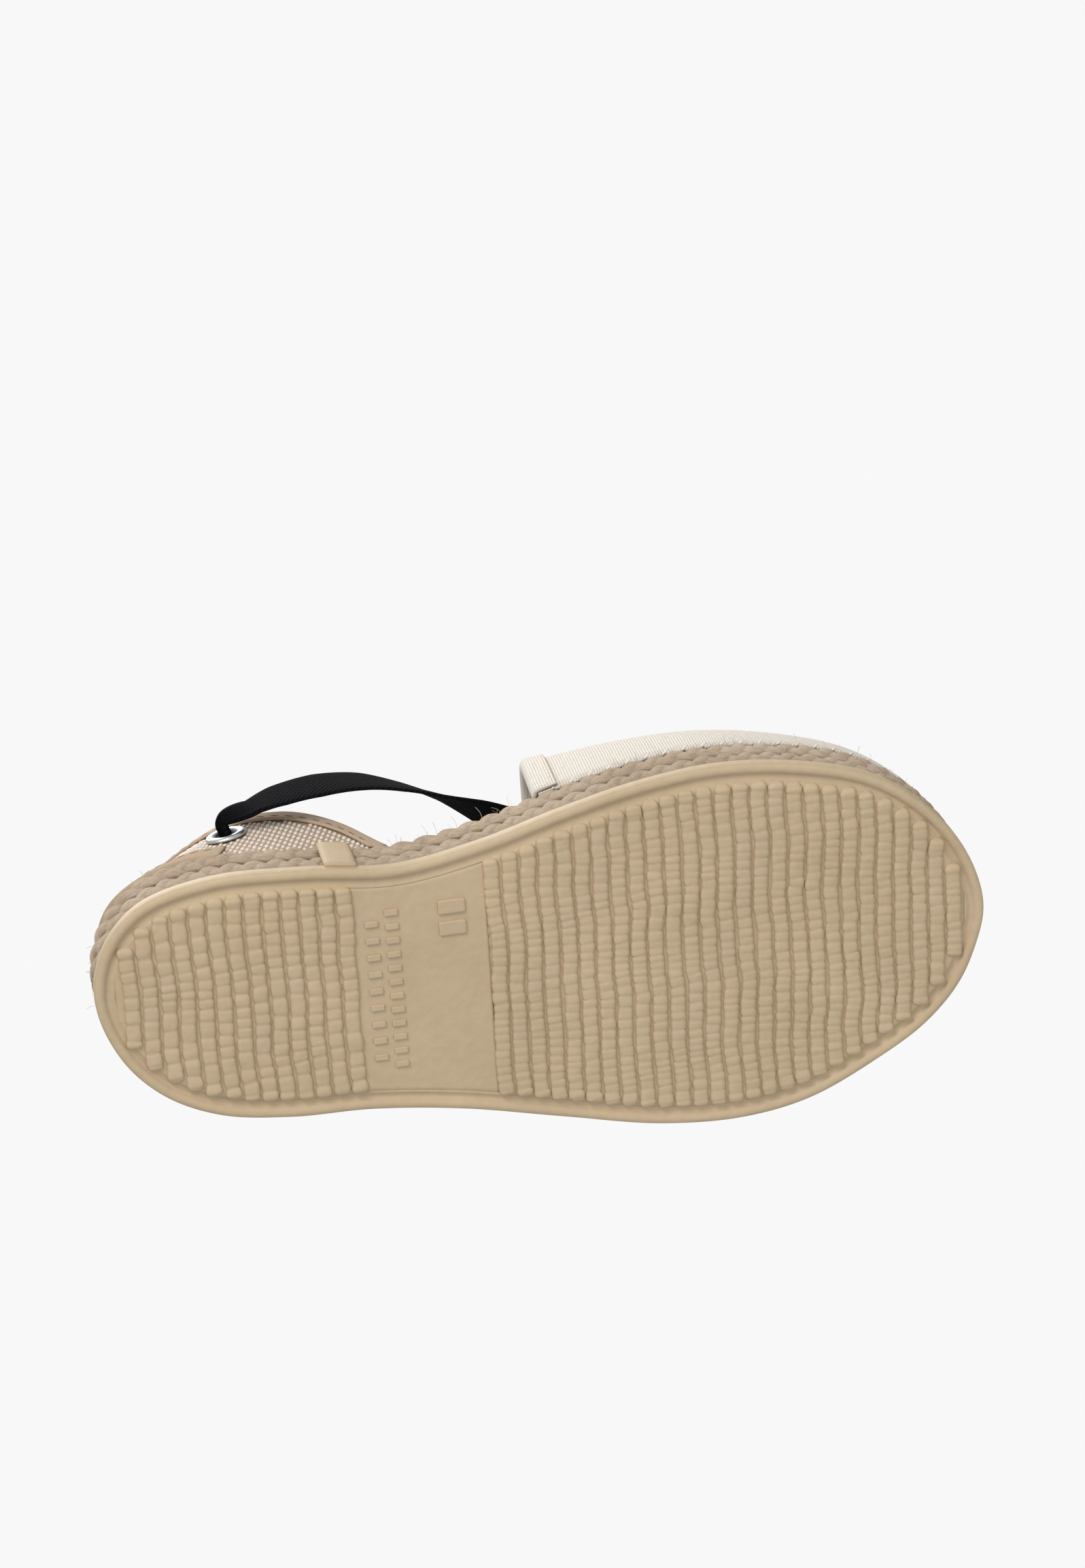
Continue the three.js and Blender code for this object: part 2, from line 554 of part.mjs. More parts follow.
const sandal = new THREE.Group();
function add(name, geometry, finish) {
  const mesh = new THREE.Mesh(geometry, new THREE.MeshStandardMaterial(finish));
  mesh.name = name;
  sandal.add(mesh);
}

add("rubber_outsole", outsole(), RUBBER);
add("side_tab", sideTab(), RUBBER);
add("jute_core", juteCore(), JUTE);
add("jute_braid_lower", lowerBraid(), JUTE);
add("jute_braid_upper", upperBraid(), JUTE);
add("insole_sock", insole(), CREAM);
add("vamp_canvas", vampShell(0, CANVAS), CREAM);
add("vamp_lining", vampShell(CANVAS + GAP, UPPER_SHEET), TAN);
add("throat_hem", throatHem(), CREAM);
add("vamp_seam_thread", seamThread(), THREAD);
add("strap_band", toGeometry(bandOuter()), WOVEN);
add("strap_lining", toGeometry(bandLining()), TAN);
add("strap_top_binding", toGeometry(topBinding()), TAN);
add("strap_low_binding", toGeometry(lowBinding()), TAN);
for (const [side, name] of [[1, "inner"], [-1, "outer"]]) {
  add(`strap_gusset_${name}`, toGeometry(gusset(side)), WOVEN);
  add(`eyelet_${name}`, eyelet(side), STEEL);
  add(`eyelet_washer_${name}`, eyeletWasher(side), STEEL);
  add(`tie_tape_${name}`, tape(side), BLACK);
}

// The origin is the middle of the footprint's box, on the ground.
const extent = new THREE.Box3().setFromObject(sandal);
sandal.position.set(-(extent.min.x + extent.max.x) / 2, -(extent.min.y + extent.max.y) / 2, -extent.min.z);

export default sandal;
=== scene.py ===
# %% [markdown]
# # Child's espadrille sandal
# Everything is laid out in millimetres from the heel end (s), towards the inner side (m) and up (z),
# then written in the row frame by `world`. The outline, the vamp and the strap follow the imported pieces.

import math

import bpy
import numpy as np
from mathutils import Matrix, Vector

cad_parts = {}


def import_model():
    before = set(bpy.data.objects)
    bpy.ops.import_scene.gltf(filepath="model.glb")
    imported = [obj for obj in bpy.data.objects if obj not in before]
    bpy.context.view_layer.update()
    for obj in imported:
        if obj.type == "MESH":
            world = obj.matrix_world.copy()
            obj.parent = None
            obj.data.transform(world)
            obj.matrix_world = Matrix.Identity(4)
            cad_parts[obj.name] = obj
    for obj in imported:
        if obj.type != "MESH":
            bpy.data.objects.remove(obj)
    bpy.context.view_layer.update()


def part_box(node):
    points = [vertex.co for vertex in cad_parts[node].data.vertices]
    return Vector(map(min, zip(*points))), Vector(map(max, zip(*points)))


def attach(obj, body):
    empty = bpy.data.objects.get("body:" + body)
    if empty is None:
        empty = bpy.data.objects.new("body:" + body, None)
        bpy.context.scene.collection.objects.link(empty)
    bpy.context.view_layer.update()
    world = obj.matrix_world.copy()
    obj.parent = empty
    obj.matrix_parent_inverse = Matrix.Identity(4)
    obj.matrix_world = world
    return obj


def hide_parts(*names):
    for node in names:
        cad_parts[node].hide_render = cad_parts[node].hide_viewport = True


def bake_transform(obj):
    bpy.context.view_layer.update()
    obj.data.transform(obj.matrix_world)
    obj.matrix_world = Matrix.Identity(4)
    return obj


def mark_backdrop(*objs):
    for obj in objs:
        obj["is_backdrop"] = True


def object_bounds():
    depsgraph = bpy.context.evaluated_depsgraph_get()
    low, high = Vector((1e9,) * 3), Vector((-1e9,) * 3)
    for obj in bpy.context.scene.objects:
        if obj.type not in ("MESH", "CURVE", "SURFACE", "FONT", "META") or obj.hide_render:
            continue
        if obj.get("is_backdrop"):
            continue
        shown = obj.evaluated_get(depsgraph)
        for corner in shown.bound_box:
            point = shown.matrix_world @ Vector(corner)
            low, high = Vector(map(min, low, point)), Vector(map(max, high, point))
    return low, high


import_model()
MM = 0.001
rng = np.random.default_rng(26)

# %% [markdown]
# ## Shared sizes
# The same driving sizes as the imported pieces, in millimetres.

# %% sizes
SOLE_LENGTH = 178
FOREFOOT_WIDTH = 77.6
HEEL_WIDTH = 53.5
RIB_PITCH = 3.57
GROOVE = 0.95
HEEL_BLOCK_END = 51
FORE_BLOCK_START = 77.6
RIM_WIDTH = 2.1
CHANNEL_WIDTH = 1.5
RUBBER_TOP = 3.0
FLOOR_LEVEL = 0.85
WAIST_LEVEL = 0.8
TAB_START, TAB_END = 46.6, 53
BED_LEVEL = 0.78
GAP = 0.3
JUTE_BOTTOM = RUBBER_TOP + GAP
BRAID_WIDTH = 4.8
INSOLE_INSET = 3.9
INSOLE_THICKNESS = 1.1
VAMP_START = 91
VAMP_HEIGHT = 44
THROAT_SCOOP = 5
UPPER_INSET = 0.5
TOE_FLAT = 0.5
TOE_DROP = 0.66
CANVAS = 1.0
LINING = 0.7
UPPER_SHEET = CANVAS + GAP + LINING
HEEL_MIDDLE = 2.4
PIVOT = 32
EYELET_C = 0.54
EYELET_V = 0.55
OUTER_FACE = GAP / 2 + CANVAS
INNER_FACE = -GAP / 2 - LINING
BINDING = 0.6
TOP_BINDING = 3.5
LOW_BINDING = 5.0


def jute_top(s):
    return JUTE_BOTTOM + 10.3 - 1.3 * np.clip(np.asarray(s, float) / SOLE_LENGTH, 0, 1)


def insole_top(s):
    return jute_top(s) + GAP + INSOLE_THICKNESS


def from_heel(s, m, z):
    x, y = -np.asarray(m, float), SOLE_LENGTH / 2 - np.asarray(s, float)
    return np.stack(np.broadcast_arrays(x, y, np.asarray(z, float)), -1)


# %% [markdown]
# ## Outline of the sole
# A closed centripetal curve through shares of the length and of the heel or forefoot width.

# %% outline
HEEL_INNER = [(0, 0.112), (0.0146, 0.318), (0.056, 0.467), (0.135, 0.538), (0.242, 0.527), (0.337, 0.493)]
FORE_INNER = [(0.433, 0.374), (0.522, 0.43), (0.612, 0.477), (0.702, 0.497), (0.792, 0.474), (0.872, 0.418),
              (0.93, 0.325), (0.97, 0.215), (0.993, 0.1), (1, 0.005)]
FORE_OUTER = [(0.992, -0.085), (0.97, -0.2), (0.93, -0.303), (0.871, -0.39), (0.792, -0.474),
              (0.713, -0.503), (0.618, -0.487), (0.506, -0.425)]
HEEL_OUTER = [(0.393, -0.523), (0.292, -0.471), (0.202, -0.456), (0.124, -0.407), (0.0646, -0.299),
              (0.0225, -0.131)]


def centripetal(points, ts, closed=False):
    """Points of a centripetal Catmull-Rom curve at ts from 0 to 1, spread evenly over its spans."""
    p = np.asarray(points, float)
    n = len(p)
    spans = n if closed else n - 1
    out = []
    for t in ts:
        at = t * spans
        i = int(math.floor(at))
        if not closed:
            i = min(i, n - 2)
        w = at - i
        if closed:
            q = [p[(i + k) % n] for k in (-1, 0, 1, 2)]
        else:
            q = [p[i - 1] if i else 2 * p[0] - p[1], p[i], p[i + 1], p[i + 2] if i + 2 < n else 2 * p[-1] - p[-2]]
        d = [max(np.linalg.norm(q[k + 1] - q[k]) ** 0.5, 1e-6) for k in range(3)]
        m1 = ((q[1] - q[0]) / d[0] - (q[2] - q[0]) / (d[0] + d[1]) + (q[2] - q[1]) / d[1]) * d[1]
        m2 = ((q[2] - q[1]) / d[1] - (q[3] - q[1]) / (d[1] + d[2]) + (q[3] - q[2]) / d[2]) * d[1]
        out.append((2 * w**3 - 3 * w**2 + 1) * q[1] + (w**3 - 2 * w**2 + w) * m1
                   + (3 * w**2 - 2 * w**3) * q[2] + (w**3 - w**2) * m2)
    return np.array(out)


def run_length(points):
    """The length along a polyline at each of its points."""
    return np.concatenate([[0], np.cumsum(np.linalg.norm(np.diff(points, axis=0), axis=1))])


def even(points, n, closed):
    """n points evenly spaced along a polyline, and its whole length."""
    p = np.asarray(points, float)
    if closed:
        p = np.vstack([p, p[:1]])
    at = run_length(p)
    want = np.linspace(0, at[-1], n, endpoint=not closed)
    return np.stack([np.interp(want, at, p[:, k]) for k in range(p.shape[1])], -1), at[-1]


rows = ([(t * SOLE_LENGTH, w * HEEL_WIDTH) for t, w in HEEL_INNER]
        + [(t * SOLE_LENGTH, w * FOREFOOT_WIDTH) for t, w in FORE_INNER]
        + [(t * SOLE_LENGTH, w * FOREFOOT_WIDTH) for t, w in FORE_OUTER]
        + [(t * SOLE_LENGTH, w * HEEL_WIDTH) for t, w in HEEL_OUTER])
dense = centripetal([(-m, SOLE_LENGTH / 2 - s) for s, m in rows], np.linspace(0, 1, 2200, endpoint=False), True)
OUTLINE, PERIMETER = even(dense, 880, True)
tangents = np.roll(OUTLINE, -1, 0) - np.roll(OUTLINE, 1, 0)
tangents /= np.linalg.norm(tangents, axis=1)[:, None]
OUTWARD = np.stack([tangents[:, 1], -tangents[:, 0]], -1)
if np.sum(OUTWARD * (OUTLINE - OUTLINE.mean(0))) < 0:
    OUTWARD = -OUTWARD

sole_low, sole_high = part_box("rubber_outsole")
SHIFT = np.array([sole_low.x / MM - OUTLINE[:, 0].min(), sole_high.y / MM - SOLE_LENGTH / 2, 0.0])


def world(points):
    return (np.asarray(points, float) + SHIFT) * MM


def edge_run(side):
    """The inner (1) or outer (-1) edge from the heel to the toe: s, x, y and the outward direction."""
    s = SOLE_LENGTH / 2 - OUTLINE[:, 1]
    n = len(s)
    i, j = int(s.argmin()), int(s.argmax())
    towards_inner = OUTLINE[(i + 40) % n, 0] < OUTLINE[i, 0]
    step = 1 if towards_inner == (side > 0) else -1
    run = [i]
    while run[-1] != j:
        run.append((run[-1] + step) % n)
    return s[run], OUTLINE[run], OUTWARD[run]


EDGE = {side: edge_run(side) for side in (1, -1)}


def edge_offset(s, side, inset):
    """Points of the edge at distances s from the heel, moved inwards along its own normal."""
    es, ep, eo = EDGE[side]
    p = np.stack([np.interp(s, es, ep[:, k]) for k in (0, 1)], -1)
    o = np.stack([np.interp(s, es, eo[:, k]) for k in (0, 1)], -1)
    o /= np.linalg.norm(o, axis=-1)[..., None]
    return p - o * np.asarray(inset, float)[..., None]


INSET_EDGES = {}


def edge_x(s, side, inset):
    """The x of the inset outline's inner or outer edge at distance s from the heel."""
    key = (side, round(float(inset), 4))
    if key not in INSET_EDGES:
        es, ep, eo = EDGE[side]
        p = ep - eo * inset
        INSET_EDGES[key] = SOLE_LENGTH / 2 - p[:, 1], p[:, 0]
    ps, px = INSET_EDGES[key]
    return float(np.interp(s, ps, px))


def span(s, inset):
    """The lowest and highest x of the inset outline at distance s from the heel."""
    p = OUTLINE - OUTWARD * inset
    y = SOLE_LENGTH / 2 - s
    q = np.roll(p, -1, 0)
    hit = (p[:, 1] - y) * (q[:, 1] - y) < 0
    if hit.sum() < 2:
        return None
    w = (y - p[hit, 1]) / (q[hit, 1] - p[hit, 1])
    x = p[hit, 0] + w * (q[hit, 0] - p[hit, 0])
    return x.min(), x.max()


# %% [markdown]
# ## Mesh helpers
# Shells, sweeps and point carriers. `flat` keeps a point's place on the unrolled cloth, in millimetres.

# %% helpers
def linked(name, data):
    """A new object with the data, in the scene; prints what a mesh measures."""
    ob = bpy.data.objects.new(name, data)
    bpy.context.scene.collection.objects.link(ob)
    if isinstance(data, bpy.types.Mesh) and len(data.polygons):
        places = np.empty(len(data.vertices) * 3)
        data.vertices.foreach_get("co", places)
        x, y, z = np.ptp(places.reshape(-1, 3), axis=0) / MM
        print(f"{name}: {len(data.polygons)} faces, {x:.1f} x {y:.1f} x {z:.1f} mm")
    return ob


def new_object(name, points, faces, material, flat=None, smooth=True, edges=(), attributes=None):
    me = bpy.data.meshes.new(name)
    me.from_pydata(world(np.asarray(points, float).reshape(-1, 3)).tolist(), [tuple(e) for e in edges],
                   [tuple(int(i) for i in f) for f in faces])
    if flat is not None:
        a = me.attributes.new("flat", "FLOAT_VECTOR", "POINT")
        a.data.foreach_set("vector", np.asarray(flat, np.float32).ravel())
    for key, values in (attributes or {}).items():
        values = np.asarray(values, np.float32)
        kind = "FLOAT" if values.ndim == 1 else "FLOAT_VECTOR"
        a = me.attributes.new(key, kind, "POINT")
        a.data.foreach_set("value" if kind == "FLOAT" else "vector", values.ravel())
    me.polygons.foreach_set("use_smooth", [smooth] * len(me.polygons))
    if material is not None:
        me.materials.append(material)
    outwards(me)
    return linked(name, me)


def volume(me):
    me.calc_loop_triangles()
    v = np.empty(len(me.vertices) * 3)
    me.vertices.foreach_get("co", v)
    v = v.reshape(-1, 3)
    t = np.empty(len(me.loop_triangles) * 3, int)
    me.loop_triangles.foreach_get("vertices", t)
    t = t.reshape(-1, 3)
    if not len(t):
        return 0.0
    v = v - v.mean(0)
    return float(np.einsum("ij,ij->i", v[t[:, 0]], np.cross(v[t[:, 1]], v[t[:, 2]])).sum())


def outwards(me):
    if volume(me) < 0:
        me.flip_normals()


def shell(name, outer, inner, material, flat, closed_u=False):
    """A closed sheet between two grids of points [nu, nv, 3]."""
    nu, nv = outer.shape[:2]
    points = np.concatenate([outer.reshape(-1, 3), inner.reshape(-1, 3)])
    flats = np.concatenate([flat.reshape(-1, 2)] * 2)
    depth = np.concatenate([np.zeros(nu * nv), np.ones(nu * nv)])
    f = []
    base = nu * nv
    for i in range(nu if closed_u else nu - 1):
        i2 = (i + 1) % nu
        for j in range(nv - 1):
            a, b, c, d = i * nv + j, i2 * nv + j, i2 * nv + j + 1, i * nv + j + 1
            f.append((a, b, c, d))
            f.append((base + d, base + c, base + b, base + a))
        f.append((i * nv, base + i * nv, base + i2 * nv, i2 * nv))
        f.append((i * nv + nv - 1, i2 * nv + nv - 1, base + i2 * nv + nv - 1, base + i * nv + nv - 1))
    if not closed_u:
        for j in range(nv - 1):
            f.append((j, j + 1, base + j + 1, base + j))
            k = (nu - 1) * nv + j
            f.append((k, base + k, base + k + 1, k + 1))
    return new_object(name, points, f, material, np.column_stack([flats, depth]))


def sweep(name, rings, material, flat, closed=False):
    """A solid through rings [n, k, 3]; open runs get caps."""
    n, k = rings.shape[:2]
    f = []
    for i in range(n if closed else n - 1):
        i2 = (i + 1) % n
        for j in range(k):
            j2 = (j + 1) % k
            f.append((i * k + j, i2 * k + j, i2 * k + j2, i * k + j2))
    if not closed:
        f.append(tuple(range(k)))
        f.append(tuple((n - 1) * k + j for j in reversed(range(k))))
    return new_object(name, rings.reshape(-1, 3), f, material, flat)


def points_object(name, points, attributes):
    """Loose points that carry instances."""
    return new_object(name, points, [], None, attributes=attributes)


def line_object(name, lines, closed=False, attributes=None):
    """Polylines as edges, to be turned into curves."""
    pts, edges = [], []
    for line in lines:
        a = len(pts)
        pts.extend(line)
        edges += [(a + i, a + i + 1) for i in range(len(line) - 1)]
        if closed:
            edges.append((a + len(line) - 1, a))
    return new_object(name, pts, [], None, edges=edges, attributes=attributes)


def superellipse(n, a, b, power):
    t = np.linspace(0, 2 * np.pi, n, endpoint=False) + np.pi / n
    c, s = np.cos(t), np.sin(t)
    return np.stack([a * np.sign(c) * np.abs(c) ** (2 / power), b * np.sign(s) * np.abs(s) ** (2 / power)], -1)


# %% [markdown]
# ## Node helpers
# One call makes a node, sets its inputs and links the sockets it is given.

# %% node helpers
def node(tree, kind, props=None, **inputs):
    n = tree.nodes.new(kind)
    for key, value in (props or {}).items():
        setattr(n, key, value)
    for key, value in inputs.items():
        socket = n.inputs[int(key[1:])] if key[0] == "i" and key[1:].isdigit() else n.inputs[key.replace("_", " ")]
        if isinstance(value, bpy.types.NodeSocket):
            tree.links.new(value, socket)
        else:
            socket.default_value = value
    return n


def maths(tree, operation, a, b=0.0, c=0.0):
    return node(tree, "ShaderNodeMath", {"operation": operation}, i0=a, i1=b, i2=c).outputs[0]


def noise(tree, vector, scale, detail=2.0, seed=None, roughness=0.5):
    """The Fac of a noise texture; a seed makes it a 4D one."""
    props = None if seed is None else {"noise_dimensions": "4D"}
    n = node(tree, "ShaderNodeTexNoise", props, Vector=vector, Scale=scale, Detail=detail, Roughness=roughness,
             **({} if seed is None else {"W": seed}))
    return n.outputs["Fac"]


def vector_maths(tree, operation, a, b):
    return node(tree, "ShaderNodeVectorMath", {"operation": operation}, i0=a, i1=b).outputs[0]


def carried(tree, name, kind="FLOAT_VECTOR"):
    """A named attribute of the geometry."""
    return node(tree, "GeometryNodeInputNamedAttribute", {"data_type": kind}, Name=name).outputs[0]


def stored(tree, geometry, name, value, kind="FLOAT"):
    return node(tree, "GeometryNodeStoreNamedAttribute", {"data_type": kind, "domain": "POINT"}, Geometry=geometry,
                Name=name, Value=value).outputs[0]


def resampled(tree, gin):
    """The incoming edges as a curve with points a step apart."""
    curve = node(tree, "GeometryNodeMeshToCurve", None, Mesh=gin.outputs["Geometry"]).outputs[0]
    return node(tree, "GeometryNodeResampleCurve", {"mode": "LENGTH"}, Curve=curve,
                Length=gin.outputs["Step"]).outputs[0]


def upright(tree, curve, radius):
    """The curve with its radius set, and its profile kept upright."""
    curve = node(tree, "GeometryNodeSetCurveRadius", None, Curve=curve, Radius=radius).outputs[0]
    return node(tree, "GeometryNodeSetCurveNormal", {"mode": "Z_UP"}, i0=curve).outputs[0]


def profile_curve(tree, gin):
    shape = node(tree, "GeometryNodeObjectInfo", None, Object=gin.outputs["Profile"])
    return node(tree, "GeometryNodeMeshToCurve", None, Mesh=shape.outputs["Geometry"]).outputs[0]


def swept(tree, curve, section, caps=False):
    n = node(tree, "GeometryNodeCurveToMesh", None, Curve=curve, Profile_Curve=section,
             Scale=tree.nodes.new("GeometryNodeInputRadius").outputs[0])
    n.inputs["Fill Caps"].default_value = caps
    return n.outputs[0]


def scattered(tree, gin, gout, instance, **inputs):
    """Real copies of one geometry on the incoming points, sent out of the group."""
    pts = node(tree, "GeometryNodeInstanceOnPoints", None, Points=gin.outputs["Geometry"], Instance=instance, **inputs)
    return sent_out(tree, gin, gout, pts.outputs[0])


def sent_out(tree, gin, gout, geometry):
    """Ends a tree: real geometry, in the material that the modifier is given."""
    real = node(tree, "GeometryNodeRealizeInstances", None, i0=geometry)
    painted = node(tree, "GeometryNodeSetMaterial", None, Geometry=real.outputs[0], Material=gin.outputs["Material"])
    tree.links.new(painted.outputs[0], gout.inputs[0])
    return tree


def group(name, inputs):
    """A node group with a geometry in and out and the named inputs; gives the tree, the group input and output."""
    g = bpy.data.node_groups.new(name, "GeometryNodeTree")
    g.interface.new_socket("Geometry", in_out="INPUT", socket_type="NodeSocketGeometry")
    for key, kind in {**inputs, "Material": "NodeSocketMaterial"}.items():
        g.interface.new_socket(key, in_out="INPUT", socket_type=kind)
    g.interface.new_socket("Geometry", in_out="OUTPUT", socket_type="NodeSocketGeometry")
    return g, g.nodes.new("NodeGroupInput"), g.nodes.new("NodeGroupOutput")


def bake(carrier, tree, name, material, **values):
    """Runs the group on a carrier and leaves a plain mesh in its place."""
    mod = carrier.modifiers.new("nodes", "NODES")
    mod.node_group = tree
    values["Material"] = material
    for item in tree.interface.items_tree:
        key = item.name.replace(" ", "_")
        if item.item_type == "SOCKET" and item.in_out == "INPUT" and key in values:
            mod[item.identifier] = values[key]
    dg = bpy.context.evaluated_depsgraph_get()
    me = bpy.data.meshes.new_from_object(carrier.evaluated_get(dg), preserve_all_data_layers=True, depsgraph=dg)
    carrier.modifiers.clear()
    bpy.data.objects.remove(carrier)
    me.name = name
    me.materials.clear()
    me.materials.append(material)
    me.polygons.foreach_set("use_smooth", [True] * len(me.polygons))
    outwards(me)
    return linked(name, me)


FLOAT, OBJECT = "NodeSocketFloat", "NodeSocketObject"

# %% [markdown]
# ## Materials
# Rubber, jute, cloth, thread, tape and metal each get a material. Cloth and fibre read the `flat` attribute, so a
# weave keeps to the thread and doesn't swim through a bend, and rubber reads Object coordinates. The fine relief is
# bump; anything that shows at the edge of a shape is geometry.

# %% materials
def surface(name, roughness, specular=0.3):
    m = bpy.data.materials.new(name)
    m.use_nodes = True
    t = m.node_tree
    b = t.nodes["Principled BSDF"]
    b.inputs["Roughness"].default_value = roughness
    b.inputs["Specular IOR Level"].default_value = specular
    return m, t, b


def linear(r, g, b):
    def one(v):
        v /= 255
        return v / 12.92 if v <= 0.04045 else ((v + 0.055) / 1.055) ** 2.4
    return (one(r), one(g), one(b), 1)


def ramp(t, factor, *stops):
    n = node(t, "ShaderNodeValToRGB", None, Fac=factor)
    while len(n.color_ramp.elements) < len(stops):
        n.color_ramp.elements.new(0.5)
    for e, (at, colour) in zip(n.color_ramp.elements, stops):
        e.position, e.color = at, colour
    return n.outputs["Color"]


def bump(t, b, height, strength, distance):
    n = node(t, "ShaderNodeBump", None, Height=height, Strength=strength, Distance=distance)
    t.links.new(n.outputs["Normal"], b.inputs["Normal"])


def flat_mm(t):
    a = node(t, "ShaderNodeAttribute", {"attribute_name": "flat"})
    return node(t, "ShaderNodeSeparateXYZ", None, i0=a.outputs["Vector"]).outputs


def woven(name, pitch_x, pitch_y, dark, light, roughness=0.95, depth=0.12, specular=0.12, mottle=0.25):
    """Plain weave from the cloth's own coordinates."""
    m, t, b = surface(name, roughness, specular)
    x, y, _ = flat_mm(t)
    sx = maths(t, "SINE", maths(t, "MULTIPLY", x, math.pi / pitch_x))
    sy = maths(t, "SINE", maths(t, "MULTIPLY", y, math.pi / pitch_y))
    h = maths(t, "ABSOLUTE", maths(t, "MULTIPLY", sx, sy))
    h = maths(t, "POWER", h, 0.5)
    a = node(t, "ShaderNodeAttribute", {"attribute_name": "flat"})
    uneven = noise(t, a.outputs["Vector"], 0.8, 6.0)
    k = maths(t, "ADD", maths(t, "MULTIPLY", h, 1 - mottle), maths(t, "MULTIPLY", uneven, mottle * 1.6))
    t.links.new(ramp(t, k, (0.15, dark), (0.85, light)), b.inputs["Base Color"])
    bump(t, b, h, 0.7, depth * MM)
    return m


def painted_hollow_shade(t, b, colour, reach, *stops):
    """Painted shade: the base colour, multiplied by a ramp over how closed in the surface is within reach, in mm, so
    hollows come out darker.
    """
    ao = node(t, "ShaderNodeAmbientOcclusion", {"samples": 8}, Distance=reach * MM)
    shade = ramp(t, ao.outputs["AO"], *stops)
    mix = node(t, "ShaderNodeMix", {"data_type": "RGBA", "blend_type": "MULTIPLY"}, i0=1.0, i6=colour, i7=shade)
    t.links.new(mix.outputs[2], b.inputs["Base Color"])


def rubber(name):
    m, t, b = surface(name, 0.62, 0.35)
    obj = node(t, "ShaderNodeTexCoord").outputs["Object"]
    broad = noise(t, obj, 38.0, 5.0, roughness=0.6)
    fine = noise(t, obj, 520.0, 4.0)
    k = maths(t, "ADD", maths(t, "MULTIPLY", broad, 0.7), maths(t, "MULTIPLY", fine, 0.3))
    colour = ramp(t, k, (0.3, linear(181, 160, 129)), (0.7, linear(196, 175, 143)))
    # painted shade: the rubber's colour is made a little darker in the grooves and hollows, by how closed in the
    # surface is
    painted_hollow_shade(t, b, colour, 2.4, (0.2, (0.97, 0.95, 0.92, 1)), (0.8, (1, 1, 1, 1)))
    dimples = node(t, "ShaderNodeTexVoronoi", {"feature": "F1"}, Vector=obj, Scale=430.0).outputs["Distance"]
    h = maths(t, "ADD", maths(t, "MULTIPLY", fine, 0.5), maths(t, "MULTIPLY", dimples, 0.45))
    bump(t, b, h, 0.55, 0.3 * MM)
    return m


def fibrous(name, dark, light, along=0.9, around=9.0):
    """Plant fibre drawn along a strand: flat.x runs along it in mm and flat.y goes round it."""
    m, t, b = surface(name, 0.95, 0.1)
    a = node(t, "ShaderNodeAttribute", {"attribute_name": "flat"})
    streak = noise(t, vector_maths(t, "MULTIPLY", a.outputs["Vector"], (along, around, 1.0)), 1.0, 6.0, roughness=0.7)
    obj = node(t, "ShaderNodeTexCoord").outputs["Object"]
    k = maths(t, "ADD", maths(t, "MULTIPLY", streak, 0.8), maths(t, "MULTIPLY", noise(t, obj, 90.0, 3.0), 0.3))
    colour = ramp(t, k, (0.32, dark), (0.56, light), (0.76, linear(214, 198, 179)))
    # painted shade: the jute's colour is made darker between the strands, by how closed in the surface is
    painted_hollow_shade(t, b, colour, 1.6, (0.15, linear(206, 194, 178)), (0.75, (1, 1, 1, 1)))
    bump(t, b, streak, 0.9, 0.35 * MM)
    return m


def twill(name):
    m, t, b = surface(name, 0.95, 0.06)
    x, y, _ = flat_mm(t)
    across = maths(t, "ABSOLUTE", y)
    line = maths(t, "SINE", maths(t, "ADD", maths(t, "MULTIPLY", x, 5.2), maths(t, "MULTIPLY", across, 4.4)))
    rib = maths(t, "SINE", maths(t, "MULTIPLY", y, 9.5))
    h = maths(t, "ADD", maths(t, "MULTIPLY", line, 0.6), maths(t, "MULTIPLY", rib, 0.35))
    t.links.new(ramp(t, maths(t, "MULTIPLY_ADD", h, 0.5, 0.5), (0.1, linear(5, 5, 7)), (0.9, linear(19, 18, 22))),
                b.inputs["Base Color"])
    bump(t, b, h, 0.8, 0.18 * MM)
    return m


def plain(name, colour, roughness, metallic=0.0, specular=0.3):
    m, t, b = surface(name, roughness, specular)
    b.inputs["Base Color"].default_value = colour
    b.inputs["Metallic"].default_value = metallic
    return m


RUBBER = rubber("moulded rubber")
JUTE = fibrous("jute", linear(142, 121, 98), linear(187, 168, 146), along=0.7, around=16.0)
FUZZ = plain("jute fibre", linear(208, 192, 168), 0.9, specular=0.1)
CREAM = woven("cream canvas", 0.55, 0.55, linear(178, 168, 152), linear(232, 226, 216))
LINEN = woven("tan lining", 0.5, 0.5, linear(128, 104, 76), linear(178, 152, 120))
GROUND = woven("strap ground", 1.07, 0.5, linear(140, 118, 97), linear(190, 168, 143), mottle=0.5)
FLOATS = plain("strap floats", linear(226, 216, 206), 0.9, specular=0.15)
BIND = woven("tan binding", 0.42, 0.42, linear(160, 134, 110), linear(206, 184, 160), depth=0.08)
BIND_LOW = woven("tan binding low", 0.42, 0.42, linear(146, 124, 102), linear(190, 168, 144), depth=0.08)
STITCH = plain("brown thread", linear(116, 92, 70), 0.8)
THREAD = plain("cream thread", linear(228, 220, 206), 0.8)
STEEL = plain("eyelet metal", linear(205, 207, 210), 0.38, metallic=1.0, specular=0.5)
TAPE = twill("black tape")

# %% [markdown]
# ## Rubber outsole
# The real outsole is one moulding: a shallow tray with a rounded bead round its edge and a channel inside the
# bead. A box could be cut and bevelled, but the edge follows the foot, so rings of the outline are joined, each
# moved inwards and up as the mould's profile says. The smooth waist and the beds under the ribs are thin shells
# with their own heights, so that a groove stays shallow and the waist runs flat into the blocks of ribs.

